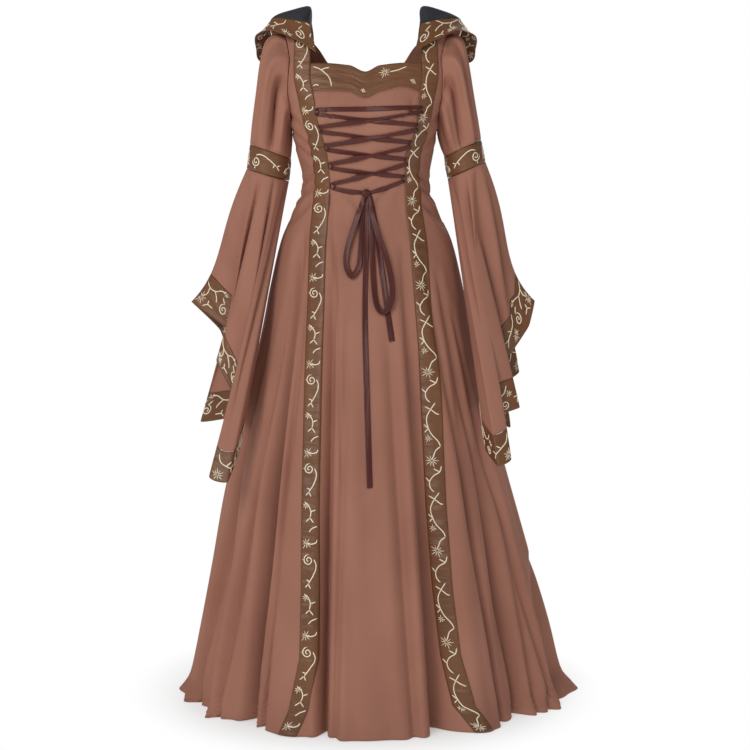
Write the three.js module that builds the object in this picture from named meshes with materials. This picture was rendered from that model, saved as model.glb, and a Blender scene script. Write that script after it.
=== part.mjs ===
import * as THREE from 'three';

// A long hooded gown, filled out as worn, with nobody in it.
// Millimetres, +Z up, the front faces -Y and +X is the viewer's right.
// The origin lies midway between the tops of the shoulders, where the gown is held up.

// Driving dimensions
const clothWall = 1.2;
const trimWall = 1.2;
const ribbonWall = 0.9;
const seamGap = 0.4;
const layGap = 0.9;
const tipGap = 1.2;
const crossingGap = 0.8;
const trimHalfWidth = 19;
const strapTrim = 37;
const armholeMargin = 3;
const cuffWidth = 62;
const laceWidth = 8;
const tailWidth = 11;
const neckEdge = 113;
const backNeckDepth = 80;
const neckFlatShare = 0.62;
const armhole = { middle: -108, halfHeight: 98, halfDepth: 62 };
const hemHeight = -1375;

// Level sections of the body: distances from the middle, and how square the section is
const bodySections = [
  { height: 0, left: 163, right: 163, front: 0.5, back: 0.5, corner: 4 },
  { height: -3, left: 164, right: 164, front: 20, back: 20, corner: 4 },
  { height: -12, left: 165, right: 165, front: 40, back: 40, corner: 4 },
  { height: -35, left: 168, right: 167, front: 61, back: 62, corner: 4 },
  { height: -75, left: 170, right: 169, front: 78, back: 82, corner: 4 },
  { height: -120, left: 167, right: 164, front: 98, back: 96, corner: 3.6 },
  { height: -165, left: 158, right: 155, front: 116, back: 102, corner: 3 },
  { height: -208, left: 151, right: 146, front: 121, back: 98, corner: 2.5 },
  { height: -255, left: 141, right: 138, front: 108, back: 88, corner: 2.2 },
  { height: -310, left: 130, right: 131, front: 95, back: 80, corner: 2.1 },
  { height: -365, left: 147, right: 146, front: 99, back: 96, corner: 2.1 },
  { height: -430, left: 175, right: 177, front: 118, back: 122, corner: 2.1 },
  { height: -520, left: 197, right: 200, front: 148, back: 150, corner: 2.05 },
  { height: -640, left: 221, right: 224, front: 184, back: 182, corner: 2 },
  { height: -780, left: 251, right: 257, front: 224, back: 218, corner: 2 },
  { height: -945, left: 292, right: 300, front: 270, back: 262, corner: 2 },
  { height: -1107, left: 320, right: 344, front: 309, back: 300, corner: 1.95 },
  { height: -1231, left: 343, right: 378, front: 338, back: 328, corner: 1.88 },
  { height: -1327, left: 363, right: 402, front: 359, back: 352, corner: 1.8 },
  { height: -1355, left: 375, right: 422, front: 366, back: 364, corner: 1.77 },
  { height: hemHeight, left: 391, right: 440, front: 371, back: 380, corner: 1.75 },
];
const hemRow = bodySections.length - 1;
const panelRows = [
  0, 1, 2, 3, 4, 5, 5.5, 6, 6.5, 6.85, 7, 7.5, 8, 8.5, 9, 9.5, 10, 10.5, 11,
  12, 13, 14, 15, 16, 17, 18, 19, 20,
];

// Where the princess seams run, as distances from the middle at each height
const princessSeams = [
  { height: 0, left: -113, right: 113 },
  { height: -75, left: -113, right: 115 },
  { height: -165, left: -114, right: 118 },
  { height: -212, left: -100, right: 109 },
  { height: -255, left: -93, right: 95 },
  { height: -310, left: -88, right: 95 },
  { height: -365, left: -92, right: 98 },
  { height: -430, left: -97, right: 107 },
  { height: -640, left: -102, right: 126 },
  { height: -945, left: -106, right: 143 },
  { height: -1107, left: -106, right: 156 },
  { height: -1231, left: -108, right: 170 },
  { height: -1327, left: -126, right: 190 },
  { height: hemHeight, left: -146, right: 222 },
];

// The yoke's top and lower edges, across the front
const yokeEdges = [
  { across: -114, top: -70, bottom: -128 },
  { across: -88, top: -70, bottom: -126 },
  { across: -32, top: -75, bottom: -128 },
  { across: 0, top: -88, bottom: -141 },
  { across: 30, top: -75, bottom: -128 },
  { across: 75, top: -70, bottom: -118 },
  { across: 116, top: -69, bottom: -130 },
];

// Folds of the skirt: each runs from a start down to the hem; a valley has a negative depth
const skirtFolds = [
  { face: 'front', start: -620, from: -225, to: -322, depth: -16, width: 30 },
  { face: 'front', start: -420, from: -128, to: -242, depth: -34, width: 30 },
  { face: 'front', start: -700, from: -205, to: -290, depth: 12, width: 30 },
  { face: 'front', start: -560, from: -100, to: -160, depth: 14, width: 34 },
  { face: 'front', start: -460, from: -74, to: -82, depth: -20, width: 26 },
  { face: 'front', start: -420, from: -44, to: -52, depth: 12, width: 24 },
  { face: 'front', start: -430, from: 84, to: 152, depth: -34, width: 26 },
  { face: 'front', start: -600, from: 150, to: 226, depth: 16, width: 36 },
  { face: 'front', start: -560, from: 176, to: 322, depth: -26, width: 34 },
  { face: 'front', start: -760, from: 214, to: 362, depth: 16, width: 34 },
  { face: 'front', start: -980, from: 316, to: 398, depth: -14, width: 26 },
  { face: 'back', start: -440, from: -110, to: -300, depth: -26, width: 32 },
  { face: 'back', start: -520, from: -84, to: -226, depth: 18, width: 34 },
  { face: 'back', start: -420, from: -52, to: -138, depth: -32, width: 30 },
  { face: 'back', start: -560, from: -26, to: -62, depth: 16, width: 32 },
  { face: 'back', start: -480, from: 8, to: 26, depth: -24, width: 30 },
  { face: 'back', start: -520, from: 44, to: 112, depth: 18, width: 34 },
  { face: 'back', start: -420, from: 78, to: 206, depth: -32, width: 32 },
  { face: 'back', start: -560, from: 120, to: 306, depth: 18, width: 34 },
  { face: 'back', start: -500, from: 150, to: 366, depth: -20, width: 30 },
];

// Bust cups shaped by the princess seams
const bustCups = { across: 68, height: -188, lift: 12, width: 46, tall: 52 };

// Slanting oval rings of each sleeve: outer and inner ends, and depth to front and back
const sleeveRings = {
  left: [
    { outer: 186, outerHeight: -7, inner: 154, innerHeight: -209, front: 64, back: 64 },
    { outer: 205, outerHeight: -24, inner: 154, innerHeight: -212, front: 65, back: 65 },
    { outer: 216, outerHeight: -66, inner: 154, innerHeight: -217, front: 64, back: 64 },
    { outer: 225, outerHeight: -130, inner: 154, innerHeight: -226, front: 62, back: 62 },
    { outer: 233, outerHeight: -186, inner: 155, innerHeight: -243, front: 59, back: 59 },
    { outer: 239, outerHeight: -233, inner: 156, innerHeight: -262, front: 56, back: 56 },
    { outer: 246, outerHeight: -283, inner: 160, innerHeight: -308, front: 55, back: 55 },
  ],
  right: [
    { outer: 184, outerHeight: -7, inner: 150, innerHeight: -209, front: 64, back: 64 },
    { outer: 201, outerHeight: -24, inner: 150, innerHeight: -212, front: 65, back: 65 },
    { outer: 211, outerHeight: -69, inner: 151, innerHeight: -217, front: 64, back: 64 },
    { outer: 221, outerHeight: -130, inner: 153, innerHeight: -226, front: 62, back: 62 },
    { outer: 230, outerHeight: -180, inner: 158, innerHeight: -243, front: 58, back: 58 },
    { outer: 238, outerHeight: -223, inner: 163, innerHeight: -258, front: 54, back: 54 },
    { outer: 247, outerHeight: -268, inner: 170, innerHeight: -302, front: 54, back: 54 },
  ],
};
const bandStart = 5;
const bandEnd = 6;
const flareBow = 9.48;
const armholeGap = 2;
const bandSeam = 0.012;
const flareSeam = 0.003;
const cuffSeam = 0.017;
const edgeSlack = 0.2;

// Soft gathers that run down the upper sleeves: turn round the sleeve, depth and width in degrees
const sleeveGathers = [
  { turn: 38, depth: -4, width: 13 },
  { turn: 62, depth: 4, width: 14 },
  { turn: 92, depth: -7, width: 12 },
  { turn: 122, depth: 4, width: 14 },
  { turn: 215, depth: -4, width: 14 },
  { turn: 262, depth: 4, width: 16 },
  { turn: 310, depth: -4, width: 14 },
];

// Corners of each cuff's edge, once round it: turn round the sleeve, then where the corner hangs,
// and how far the cloth above it is tucked in, so that the cuff flares
const cuffCorners = {
  left: [
    { turn: 0, across: 361, depth: -30, height: -558, tuck: 18 },
    { turn: 45, across: 268, depth: -88, height: -624, tuck: 0 },
    { turn: 75, across: 303, depth: -112, height: -671, tuck: 0 },
    { turn: 105, across: 260, depth: -146, height: -757, tuck: 0 },
    { turn: 140, across: 309, depth: -217, height: -890, tuck: 0 },
    { turn: 165, across: 272, depth: -228, height: -900, tuck: 0 },
    { turn: 190, across: 252, depth: -160, height: -840, tuck: 0 },
    { turn: 215, across: 258, depth: -112, height: -788, tuck: 0 },
    { turn: 262, across: 340, depth: -70, height: -802, tuck: 0 },
    { turn: 295, across: 276, depth: -44, height: -716, tuck: 0 },
    { turn: 330, across: 304, depth: -6, height: -620, tuck: 8 },
  ],
  right: [
    { turn: 0, across: 349, depth: -30, height: -556, tuck: 22 },
    { turn: 20, across: 336, depth: -56, height: -606, tuck: 16 },
    { turn: 48, across: 302, depth: -86, height: -652, tuck: 6 },
    { turn: 82, across: 238, depth: -122, height: -734, tuck: 0 },
    { turn: 110, across: 310, depth: -148, height: -762, tuck: 0 },
    { turn: 132, across: 268, depth: -170, height: -778, tuck: 0 },
    { turn: 155, across: 288, depth: -218, height: -856, tuck: 0 },
    { turn: 175, across: 262, depth: -230, height: -868, tuck: 0 },
    { turn: 195, across: 240, depth: -184, height: -842, tuck: 0 },
    { turn: 218, across: 234, depth: -120, height: -776, tuck: 0 },
    { turn: 258, across: 296, depth: -86, height: -812, tuck: 0 },
    { turn: 290, across: 286, depth: -62, height: -728, tuck: 0 },
    { turn: 318, across: 318, depth: -32, height: -704, tuck: 0 },
    { turn: 338, across: 304, depth: 8, height: -646, tuck: 6 },
  ],
};

// Stations round the open hood, from the front corner of the left side to the middle of the back.
// Each gives the neck seam, three points through the bag, the trim's inner edge and the rim.
const hoodStations = [
  { seam: [-121, -30, 6], down: [-122, -30, 9], fold: [-123, -31, 12], up: [-125, -32, 13],
    edge: [-128, -34, 9], rim: [-114, -76, -54] },
  { seam: [-115, -15, 6], down: [-118, -14, 22], fold: [-122, -13, 36], up: [-140, -15, 34],
    edge: [-160, -20, 20], rim: [-150, -60, -24] },
  { seam: [-112, 0, 5], down: [-116, 2, 28], fold: [-118, 5, 50], up: [-155, 5, 42],
    edge: [-192, 4, 25], rim: [-188, -38, -2] },
  { seam: [-111, 20, 2], down: [-114, 24, 24], fold: [-118, 30, 44], up: [-160, 36, 30],
    edge: [-200, 40, 8], rim: [-226, 8, -8] },
  { seam: [-110, 43, -11], down: [-114, 58, -4], fold: [-122, 74, 0], up: [-155, 84, -6],
    edge: [-194, 86, -18], rim: [-230, 54, -32] },
  { seam: [-109, 64, -40], down: [-112, 90, -66], fold: [-124, 116, -96], up: [-150, 126, -88],
    edge: [-180, 118, -66], rim: [-218, 90, -60] },
  { seam: [-78, 86, -77], down: [-76, 114, -156], fold: [-78, 138, -226], up: [-98, 160, -150],
    edge: [-112, 160, -96], rim: [-136, 150, -58] },
  { seam: [0, 87, -80], down: [0, 120, -190], fold: [0, 144, -310], up: [0, 176, -220],
    edge: [0, 178, -112], rim: [0, 174, -64] },
];
const hoodProfile = ['seam', 'down', 'fold', 'up', 'edge', 'rim'];
const hoodEdge = 4;
const hoodRim = 5;
const hoodSeam = 0.055;
const liningGap = 0.5;
const liningWall = 1;

// Heights of the lacing points beside the trim, how far out they are,
// and how far the strand that starts there stands off the cloth
const lacePoints = [
  { left: -93, leftHeight: -166, right: 110, rightHeight: -161, lift: 1.45 },
  { left: -86, leftHeight: -200, right: 99, rightHeight: -196, lift: 1.2 },
  { left: -76, leftHeight: -236, right: 87, rightHeight: -230, lift: 0.9 },
  { left: -70, leftHeight: -273, right: 83, rightHeight: -264, lift: 0.9 },
  { left: -66, leftHeight: -314, right: 77, rightHeight: -299, lift: 0.9 },
];
const knot = { across: 1, height: -334, halfWidth: 7, halfHeight: 6, halfDepth: 4, lift: 5.6 };

const materials = {
  gown: new THREE.MeshStandardMaterial({ color: 0xa57362, roughness: 0.85, metalness: 0 }),
  trim: new THREE.MeshStandardMaterial({ color: 0x6c4c36, roughness: 0.5, metalness: 0 }),
  lining: new THREE.MeshStandardMaterial({ color: 0x32343a, roughness: 0.7, metalness: 0 }),
  ribbon: new THREE.MeshStandardMaterial({ color: 0x502d28, roughness: 0.4, metalness: 0 }),
};

const radians = THREE.MathUtils.degToRad;

// A smooth value through evenly spaced numbers; slack 0.5 is a full curve, 0 is straight lines
function smooth(values, position, slack = 0.5) {
  const last = values.length - 1;
  const index = Math.min(Math.floor(Math.max(position, 0)), last - 1);
  const t = THREE.MathUtils.clamp(position, 0, last) - index;
  const before = values[Math.max(index - 1, 0)];
  const here = values[index];
  const next = values[index + 1];
  const after = values[Math.min(index + 2, last)];
  const leave = slack * (next - before);
  const arrive = slack * (after - here);
  const t2 = t * t;
  const t3 = t2 * t;
  return (2 * t3 - 3 * t2 + 1) * here + (t3 - 2 * t2 + t) * leave
    + (3 * t2 - 2 * t3) * next + (t3 - t2) * arrive;
}

// Linear reading of a table: the value of one column where another has the given key
function readTable(table, keyName, valueName, key) {
  const rising = table[table.length - 1][keyName] > table[0][keyName];
  const rows = rising ? table : [...table].reverse();
  let upper = rows.findIndex((row) => row[keyName] >= key);
  if (upper === -1) upper = rows.length - 1;
  if (upper === 0) upper = 1;
  const low = rows[upper - 1];
  const high = rows[upper];
  const share = THREE.MathUtils.clamp((key - low[keyName]) / (high[keyName] - low[keyName]), 0, 1);
  return low[valueName] + (high[valueName] - low[valueName]) * share;
}

const sectionColumns = {};
for (const name of ['height', 'left', 'right', 'front', 'back', 'corner']) {
  sectionColumns[name] = bodySections.map((section) => section[name]);
}

function section(row) {
  const found = {};
  for (const name in sectionColumns) found[name] = smooth(sectionColumns[name], row);
  return found;
}

function rowAtHeight(height) {
  let low = 0;
  let high = hemRow;
  for (let step = 0; step < 30; step += 1) {
    const middle = (low + high) / 2;
    if (smooth(sectionColumns.height, middle) > height) low = middle;
    else high = middle;
  }
  return (low + high) / 2;
}

// The direction, in degrees from straight ahead, of the point that lies this far across
function angleAcross(row, across, face = 'front') {
  const { left, right, corner } = section(row);
  const share = Math.min(Math.abs(across) / (across < 0 ? left : right), 1);
  const depth = (1 - share ** corner) ** (1 / corner);
  const angle = THREE.MathUtils.radToDeg(Math.atan2(share, depth)) * Math.sign(across);
  return face === 'front' ? angle : Math.sign(across || 1) * 180 - angle;
}

function bump(distance, width) {
  return Math.exp(-((distance / width) ** 2));
}

function foldLift(row, angle, { height, left, right, front, back }) {
  let lift = 0;
  const radius = (left + right + front + back) / 4;
  for (const fold of skirtFolds) {
    const share = (height - fold.start) / (hemHeight - fold.start);
    if (share <= 0) continue;
    const centre = angleAcross(row, fold.from + (fold.to - fold.from) * share, fold.face);
    const apart = radians(((angle - centre + 540) % 360) - 180) * radius;
    lift += fold.depth * share ** 0.8 * bump(apart, fold.width * (0.6 + 0.4 * share));
  }
  return lift;
}

function cupLift(height, across, angle) {
  if (Math.abs(angle) > 90) return 0;
  const apart = Math.abs(Math.abs(across) - bustCups.across);
  return bustCups.lift * bump(apart, bustCups.width) * bump(height - bustCups.height, bustCups.tall);
}

// A point of the body's cloth: row counts down the sections, angle goes round from the front
function bodyPoint(row, angle) {
  const shape = section(row);
  const turn = radians(angle);
  const sine = Math.sin(turn);
  const cosine = Math.cos(turn);
  const { corner } = shape;
  const reach = (Math.abs(sine) ** corner + Math.abs(cosine) ** corner) ** (-1 / corner);
  const across = (sine < 0 ? shape.left : shape.right) * reach * sine;
  const depth = -(cosine > 0 ? shape.front : shape.back) * reach * cosine;
  const lift = foldLift(row, angle, shape) + cupLift(shape.height, across, angle);
  return new THREE.Vector3(across + lift * sine, depth - lift * cosine, shape.height);
}

function frontPoint(across, height) {
  const row = rowAtHeight(height);
  return bodyPoint(row, angleAcross(row, across));
}

// The outward direction of a surface at a place, from small steps along it
function facing(surface, u, v, stepU, stepV) {
  const alongU = surface(u + stepU, v).sub(surface(u - stepU, v));
  const alongV = surface(u, v + stepV).sub(surface(u, v - stepV));
  return alongU.cross(alongV).normalize();
}

// A closed wall over a grid of places on a surface, between two distances from it.
// From the row `mirrorFrom` on, facets are split the other way, as in a mirror.
function wall(surface, grid, low, high, options = {}) {
  const { ring = false, stepU = 0.01, stepV = 0.2, flip = 1, mirrorFrom = Infinity } = options;
  const rows = grid.length;
  const columns = grid[0].length;
  const positions = [];
  for (const distance of [low, high]) {
    for (const line of grid) {
      for (const [u, v] of line) {
        const out = facing(surface, u, v, stepU, stepV).multiplyScalar(distance * flip);
        positions.push(...surface(u, v).add(out).toArray());
      }
    }
  }
  const numberOf = ([side, row, column]) => (side * rows + row) * columns + (column % columns);
  const faces = [];
  let mirrored = false;
  const quad = (...corners) => {
    const [a, b, c, d] = corners.map(numberOf);
    if (mirrored) faces.push(b, c, d, b, d, a);
    else faces.push(a, b, c, a, c, d);
  };
  const across = ring ? columns : columns - 1;
  for (let row = 0; row < rows - 1; row += 1) {
    mirrored = row >= mirrorFrom;
    for (let column = 0; column < across; column += 1) {
      quad([1, row, column], [1, row, column + 1], [1, row + 1, column + 1], [1, row + 1, column]);
      quad([0, row, column], [0, row + 1, column], [0, row + 1, column + 1], [0, row, column + 1]);
    }
  }
  for (let column = 0; column < across; column += 1) {
    const end = rows - 1;
    quad([0, 0, column], [0, 0, column + 1], [1, 0, column + 1], [1, 0, column]);
    quad([0, end, column + 1], [0, end, column], [1, end, column], [1, end, column + 1]);
  }
  if (!ring) {
    for (let row = 0; row < rows - 1; row += 1) {
      const end = columns - 1;
      quad([0, row + 1, 0], [0, row, 0], [1, row, 0], [1, row + 1, 0]);
      quad([0, row, end], [0, row + 1, end], [1, row + 1, end], [1, row, end]);
    }
  }
  const geometry = new THREE.BufferGeometry();
  geometry.setAttribute('position', new THREE.Float32BufferAttribute(positions, 3));
  geometry.setIndex(faces);
  return pointingOut(geometry);
}

// One thickness of cloth, with the surface in its middle
function cloth(surface, grid, options) {
  return wall(surface, grid, -clothWall / 2, clothWall / 2, options);
}

function pointingOut(geometry) {
  const position = geometry.getAttribute('position');
  const index = geometry.getIndex().array;
  const corners = [new THREE.Vector3(), new THREE.Vector3(), new THREE.Vector3()];
  let volume = 0;
  for (let face = 0; face < index.length; face += 3) {
    corners.forEach((corner, side) => corner.fromBufferAttribute(position, index[face + side]));
    volume += corners[0].dot(corners[1].cross(corners[2]));
  }
  if (volume < 0) {
    for (let face = 0; face < index.length; face += 3) {
      [index[face + 1], index[face + 2]] = [index[face + 2], index[face + 1]];
    }
  }
  geometry.computeVertexNormals();
  return geometry;
}

const gown = new THREE.Group();

function add(name, geometry, material) {
  const mesh = new THREE.Mesh(geometry, material.clone());
  mesh.name = name;
  gown.add(mesh);
}

function spread(from, to, steps) {
  return Array.from({ length: steps + 1 }, (unused, step) => from + ((to - from) * step) / steps);
}

// Columns always run the same way round, so that a wall's facets match those it lies on
function rising(angles) {
  return angles[0] < angles[angles.length - 1] ? angles : [...angles].reverse();
}

// Angles on the body, in degrees, of the seams and of the trim laid over the princess seams
function gapAngle(row, angle) {
  const reach = bodyPoint(row, angle + 0.5).distanceTo(bodyPoint(row, angle - 0.5));
  return seamGap / 2 / Math.max(reach, 0.01);
}

function seamAngle(row, side) {
  const height = smooth(sectionColumns.height, row);
  return angleAcross(row, readTable(princessSeams, 'height', side, height));
}

function trimAngle(row, side, edge) {
  const sign = side === 'left' ? -1 : 1;
  const height = smooth(sectionColumns.height, row);
  const strap = THREE.MathUtils.smoothstep(height, -175, -90);
  const inward = trimHalfWidth * (1 - strap) + strap;
  const outward = trimHalfWidth * (1 - strap) + strapTrim * strap;
  const seam = seamAngle(row, side);
  const reach = bodyPoint(row, seam + 0.5).distanceTo(bodyPoint(row, seam - 0.5));
  const shift = (edge === 'outward' ? outward : -inward) / Math.max(reach, 0.1);
  const limit = Math.abs(armholeAngle(row, side, 'front')) - armholeMargin / Math.max(reach, 0.1);
  const moved = seam + sign * shift;
  if (edge !== 'outward') return moved;
  return sign * Math.min(Math.abs(moved), limit);
}

// The angle at which a panel ends at its side: the armhole's edge, or else the side seam
function armholeAngle(row, side, face) {
  const shape = section(row);
  const rise = (shape.height - armhole.middle) / armhole.halfHeight;
  const sign = side === 'left' ? -1 : 1;
  let depth = Math.min(tipGap, 0.6 * shape[face]) * (rise > 0 ? 1 : 0);
  if (Math.abs(rise) < 1) depth = armhole.halfDepth * Math.sqrt(1 - rise * rise);
  const share = Math.min(depth / shape[face], 0.97);
  const out = (1 - share ** shape.corner) ** (1 / shape.corner);
  const fromFront = THREE.MathUtils.radToDeg(Math.atan2(out, share));
  const angle = face === 'front' ? fromFront : 180 - fromFront;
  const gap = gapAngle(row, sign * angle);
  return sign * (face === 'front' ? angle - gap : angle + gap);
}

// Front panel and yoke share their columns, so that the yoke's seam follows the sweetheart line
const frontShares = spread(0, 1, 12);
const yokeMiddle = -110;
const yokeSlack = 0.35;

function frontColumns(row) {
  const left = seamAngle(row, 'left');
  const right = seamAngle(row, 'right');
  const trimLeft = trimAngle(row, 'left', 'inward');
  const trimRight = trimAngle(row, 'right', 'inward');
  const inner = frontShares.map((share) => trimLeft + (trimRight - trimLeft) * share);
  return [left + gapAngle(row, left), ...inner, right - gapAngle(row, right)];
}

function columnAcross(column, row) {
  return bodyPoint(row, frontColumns(row)[column]).x;
}

function edgeRow(column, edge) {
  const across = columnAcross(column, rowAtHeight(yokeMiddle));
  const heights = yokeEdges.map((place) => place[edge]);
  return rowAtHeight(smooth(heights, yokePosition(across), yokeSlack));
}

function yokePosition(across) {
  const places = yokeEdges.map((place, index) => ({ across: place.across, index }));
  return readTable(places, 'across', 'index', across);
}

const frontColumnCount = frontShares.length + 2;
const joinRow = 6;
const rowTall = 45;

function frontPanel() {
  const grid = [];
  const below = panelRows.filter((row) => row > joinRow);
  for (let step = 0; step <= 2; step += 1) {
    const line = [];
    for (let column = 0; column < frontColumnCount; column += 1) {
      const top = edgeRow(column, 'bottom') + seamGap / rowTall;
      const row = top + ((joinRow - top) * step) / 2;
      line.push([row, frontColumns(row)[column]]);
    }
    grid.push(line);
  }
  for (const row of below) grid.push(frontColumns(row).map((angle) => [row, angle]));
  add('front_panel', cloth(bodyPoint, grid), materials.gown);
}

function frontYoke() {
  const grid = [];
  for (let step = 0; step <= 3; step += 1) {
    const line = [];
    for (let column = 0; column < frontColumnCount; column += 1) {
      const top = edgeRow(column, 'top');
      const row = top + ((edgeRow(column, 'bottom') - top) * step) / 3;
      line.push([row, frontColumns(row)[column]]);
    }
    grid.push(line);
  }
  add('front_yoke', cloth(bodyPoint, grid), materials.trim);
}

function sideFront(side) {
  const grid = panelRows.map((row) => {
    const seam = seamAngle(row, side);
    const sign = Math.sign(seam);
    const trim = trimAngle(row, side, 'outward');
    const end = armholeAngle(row, side, 'front');
    const start = seam + sign * gapAngle(row, seam);
    const angles = rising([...spread(start, trim, 3), ...spread(trim, end, 5).slice(1)]);
    return angles.map((angle) => [row, angle]);
  });
  add(`side_front_${side}`, cloth(bodyPoint, grid), materials.gown);
}

function backNeckRow(across) {
  const share = Math.min(across / neckEdge, 1);
  return rowAtHeight(-backNeckDepth * (1 - share ** 6));
}

function backPanel(side) {
  const sign = side === 'left' ? -1 : 1;
  const columns = spread(0, 1, 11);
  const grid = panelRows.map((row) => {
    return columns.map((share) => {
      const top = share < neckFlatShare ? backNeckRow((neckEdge * share) / neckFlatShare) : 0;
      const here = row < joinRow ? top + ((joinRow - top) * row) / joinRow : row;
      const end = armholeAngle(here, side, 'back');
      const middle = sign * (180 - gapAngle(here, 180));
      return [here, middle + (end - middle) * share];
    });
  });
  add(`back_${side}`, cloth(bodyPoint, grid), materials.gown);
}

function trimBand(side) {
  const low = clothWall / 2 + layGap;
  const grid = panelRows.map((row) => {
    const outer = trimAngle(row, side, 'outward');
    const inner = trimAngle(row, side, 'inward');
    const seam = seamAngle(row, side);
    return rising([...spread(outer, seam, 3), inner]).map((angle) => [row, angle]);
  });
  add(`trim_band_${side}`, wall(bodyPoint, grid, low, low + trimWall), materials.trim);
}

// Sleeves: rings from the armhole to the arm band, then a flare that ends at the cuff's corners
function armholePoint(side, turn) {
  const angle = radians(turn);
  const height = armhole.middle + armhole.halfHeight * Math.cos(angle);
  const depth = -armhole.halfDepth * Math.sin(angle);
  const row = rowAtHeight(height);
  const face = depth < 0 ? 'front' : 'back';
  const across = bodyPoint(row, armholeAngle(row, side, face)).x;
  return new THREE.Vector3(across, depth, height);
}

function ringPoint(ring, sign, turn) {
  const angle = radians(turn);
  const middle = (ring.outer + ring.inner) / 2;
  const middleHeight = (ring.outerHeight + ring.innerHeight) / 2;
  const depth = Math.sin(angle) > 0 ? ring.front : ring.back;
  return new THREE.Vector3(
    sign * (middle + (ring.outer - middle) * Math.cos(angle)),
    -depth * Math.sin(angle),
    middleHeight + (ring.outerHeight - middleHeight) * Math.cos(angle),
  );
}

function gather(turn, along) {
  let lift = 0;
  for (const { turn: centre, depth, width } of sleeveGathers) {
    lift += depth * bump(((turn - centre + 540) % 360) - 180, width);
  }
  return lift * Math.sin(Math.PI * THREE.MathUtils.clamp(along, 0, 1)) ** 0.6;
}

function sleeveSurface(side) {
  const sign = side === 'left' ? -1 : 1;
  const rings = sleeveRings[side];
  return (row, turn) => {
    const start = armholePoint(side, turn);
    start.x += sign * armholeGap;
    const points = [start, ...rings.map((ring) => ringPoint(ring, sign, turn))];
    const axes = ['x', 'y', 'z'].map((axis) => smooth(points.map((point) => point[axis]), row));
    const point = new THREE.Vector3(...axes);
    const middle = ringPoint(rings[2], sign, 90);
    const out = point.clone().sub(new THREE.Vector3(middle.x, 0, point.z)).normalize();
    return point.addScaledVector(out, gather(turn, row / (bandStart + 1)));
  };
}

const ringTurns = spread(0, 360, 22).slice(0, -1);

function upperSleeve(side) {
  const surface = sleeveSurface(side);
  const rows = [0, 0.5, 1, 2, 3, 4, 5, bandStart + 1];
  const last = rows.length - 1;
  const grid = rows.map((row, index) => {
    const end = index === last ? row - bandSeam : row;
    return ringTurns.map((turn) => [end, turn]);
  });
  const geometry = cloth(surface, grid, { ring: true, stepV: 1, flip: outward(side) });
  add(`sleeve_upper_${side}`, geometry, materials.gown);
}

function outward(side) {
  return side === 'left' ? -1 : 1;
}

function armBand(side) {
  const surface = sleeveSurface(side);
  const rows = spread(bandStart + 1, bandEnd + 1, 2);
  const grid = rows.map((row) => ringTurns.map((turn) => [row, turn]));
  const geometry = cloth(surface, grid, { ring: true, stepV: 1, flip: outward(side) });
  add(`arm_band_${side}`, geometry, materials.trim);
}

// The cuff's edge at a place counted in corners round it
function cuffEdge(side, place) {
  const sign = side === 'left' ? -1 : 1;
  const corners = cuffCorners[side];
  const count = corners.length;
  const wrapped = (name) => {
    const values = corners.map((corner) => corner[name]);
    return [values[count - 1], ...values, values[0], values[1]];
  };
  const position = (((place % count) + count) % count) + 1;
  const point = new THREE.Vector3(
    sign * smooth(wrapped('across'), position, edgeSlack),
    smooth(wrapped('depth'), position, edgeSlack),
    smooth(wrapped('height'), position, edgeSlack),
  );
  const tuck = sign * smooth(wrapped('tuck'), position, edgeSlack);
  const turns = corners.map((corner) => corner.turn);
  const turnList = [turns[count - 1] - 360, ...turns, 360 + turns[0], 360 + turns[1]];
  return { point, tuck, turn: smooth(turnList, position) };
}

function flareSurface(side) {
  const upper = sleeveSurface(side);
  return (share, place) => {
    const { point, tuck, turn } = cuffEdge(side, place);
    const start = upper(bandEnd + 1, turn).lerp(point, share);
    start.x -= tuck * flareBow * share ** 3 * (1 - share);
    return start;
  };
}

function cuffShare(side, place) {
  const surface = flareSurface(side);
  const length = surface(0, place).distanceTo(surface(1, place));
  return 1 - cuffWidth / length;
}

function lowerSleeve(side) {
  const surface = flareSurface(side);
  const count = cuffCorners[side].length;
  const places = spread(0, count, count * 3).slice(0, -1);
  const settings = { ring: true, stepU: 0.004, stepV: 0.05, flip: outward(side) };
  const flare = spread(0, 1, 4).map((step) => places.map((place) => {
    const end = cuffShare(side, place) - cuffSeam;
    return [flareSeam + (end - flareSeam) * step, place];
  }));
  add(`sleeve_lower_${side}`, cloth(surface, flare, settings), materials.gown);
  const cuff = spread(0, 1, 2).map((step) => places.map((place) => {
    const start = cuffShare(side, place);
    return [start + (1 - start) * step, place];
  }));
  add(`cuff_band_${side}`, cloth(surface, cuff, settings), materials.trim);
}

// The hood: stations mirrored to the other side, with a smooth curve through each profile
const hoodRing = [
  ...hoodStations.map((station) => ({ station, mirror: 1 })),
  ...hoodStations.slice(0, -1).reverse().map((station) => ({ station, mirror: -1 })),
];

function hoodPoint(place, along) {
  const axes = [0, 1, 2].map((axis) => {
    const alongProfile = hoodProfile.map((name) => {
      const round = hoodRing.map(({ station, mirror }) => {
        return station[name][axis] * (axis === 0 ? mirror : 1);
      });
      return smooth(round, place);
    });
    return smooth(alongProfile, along);
  });
  return new THREE.Vector3(...axes);
}

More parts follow.
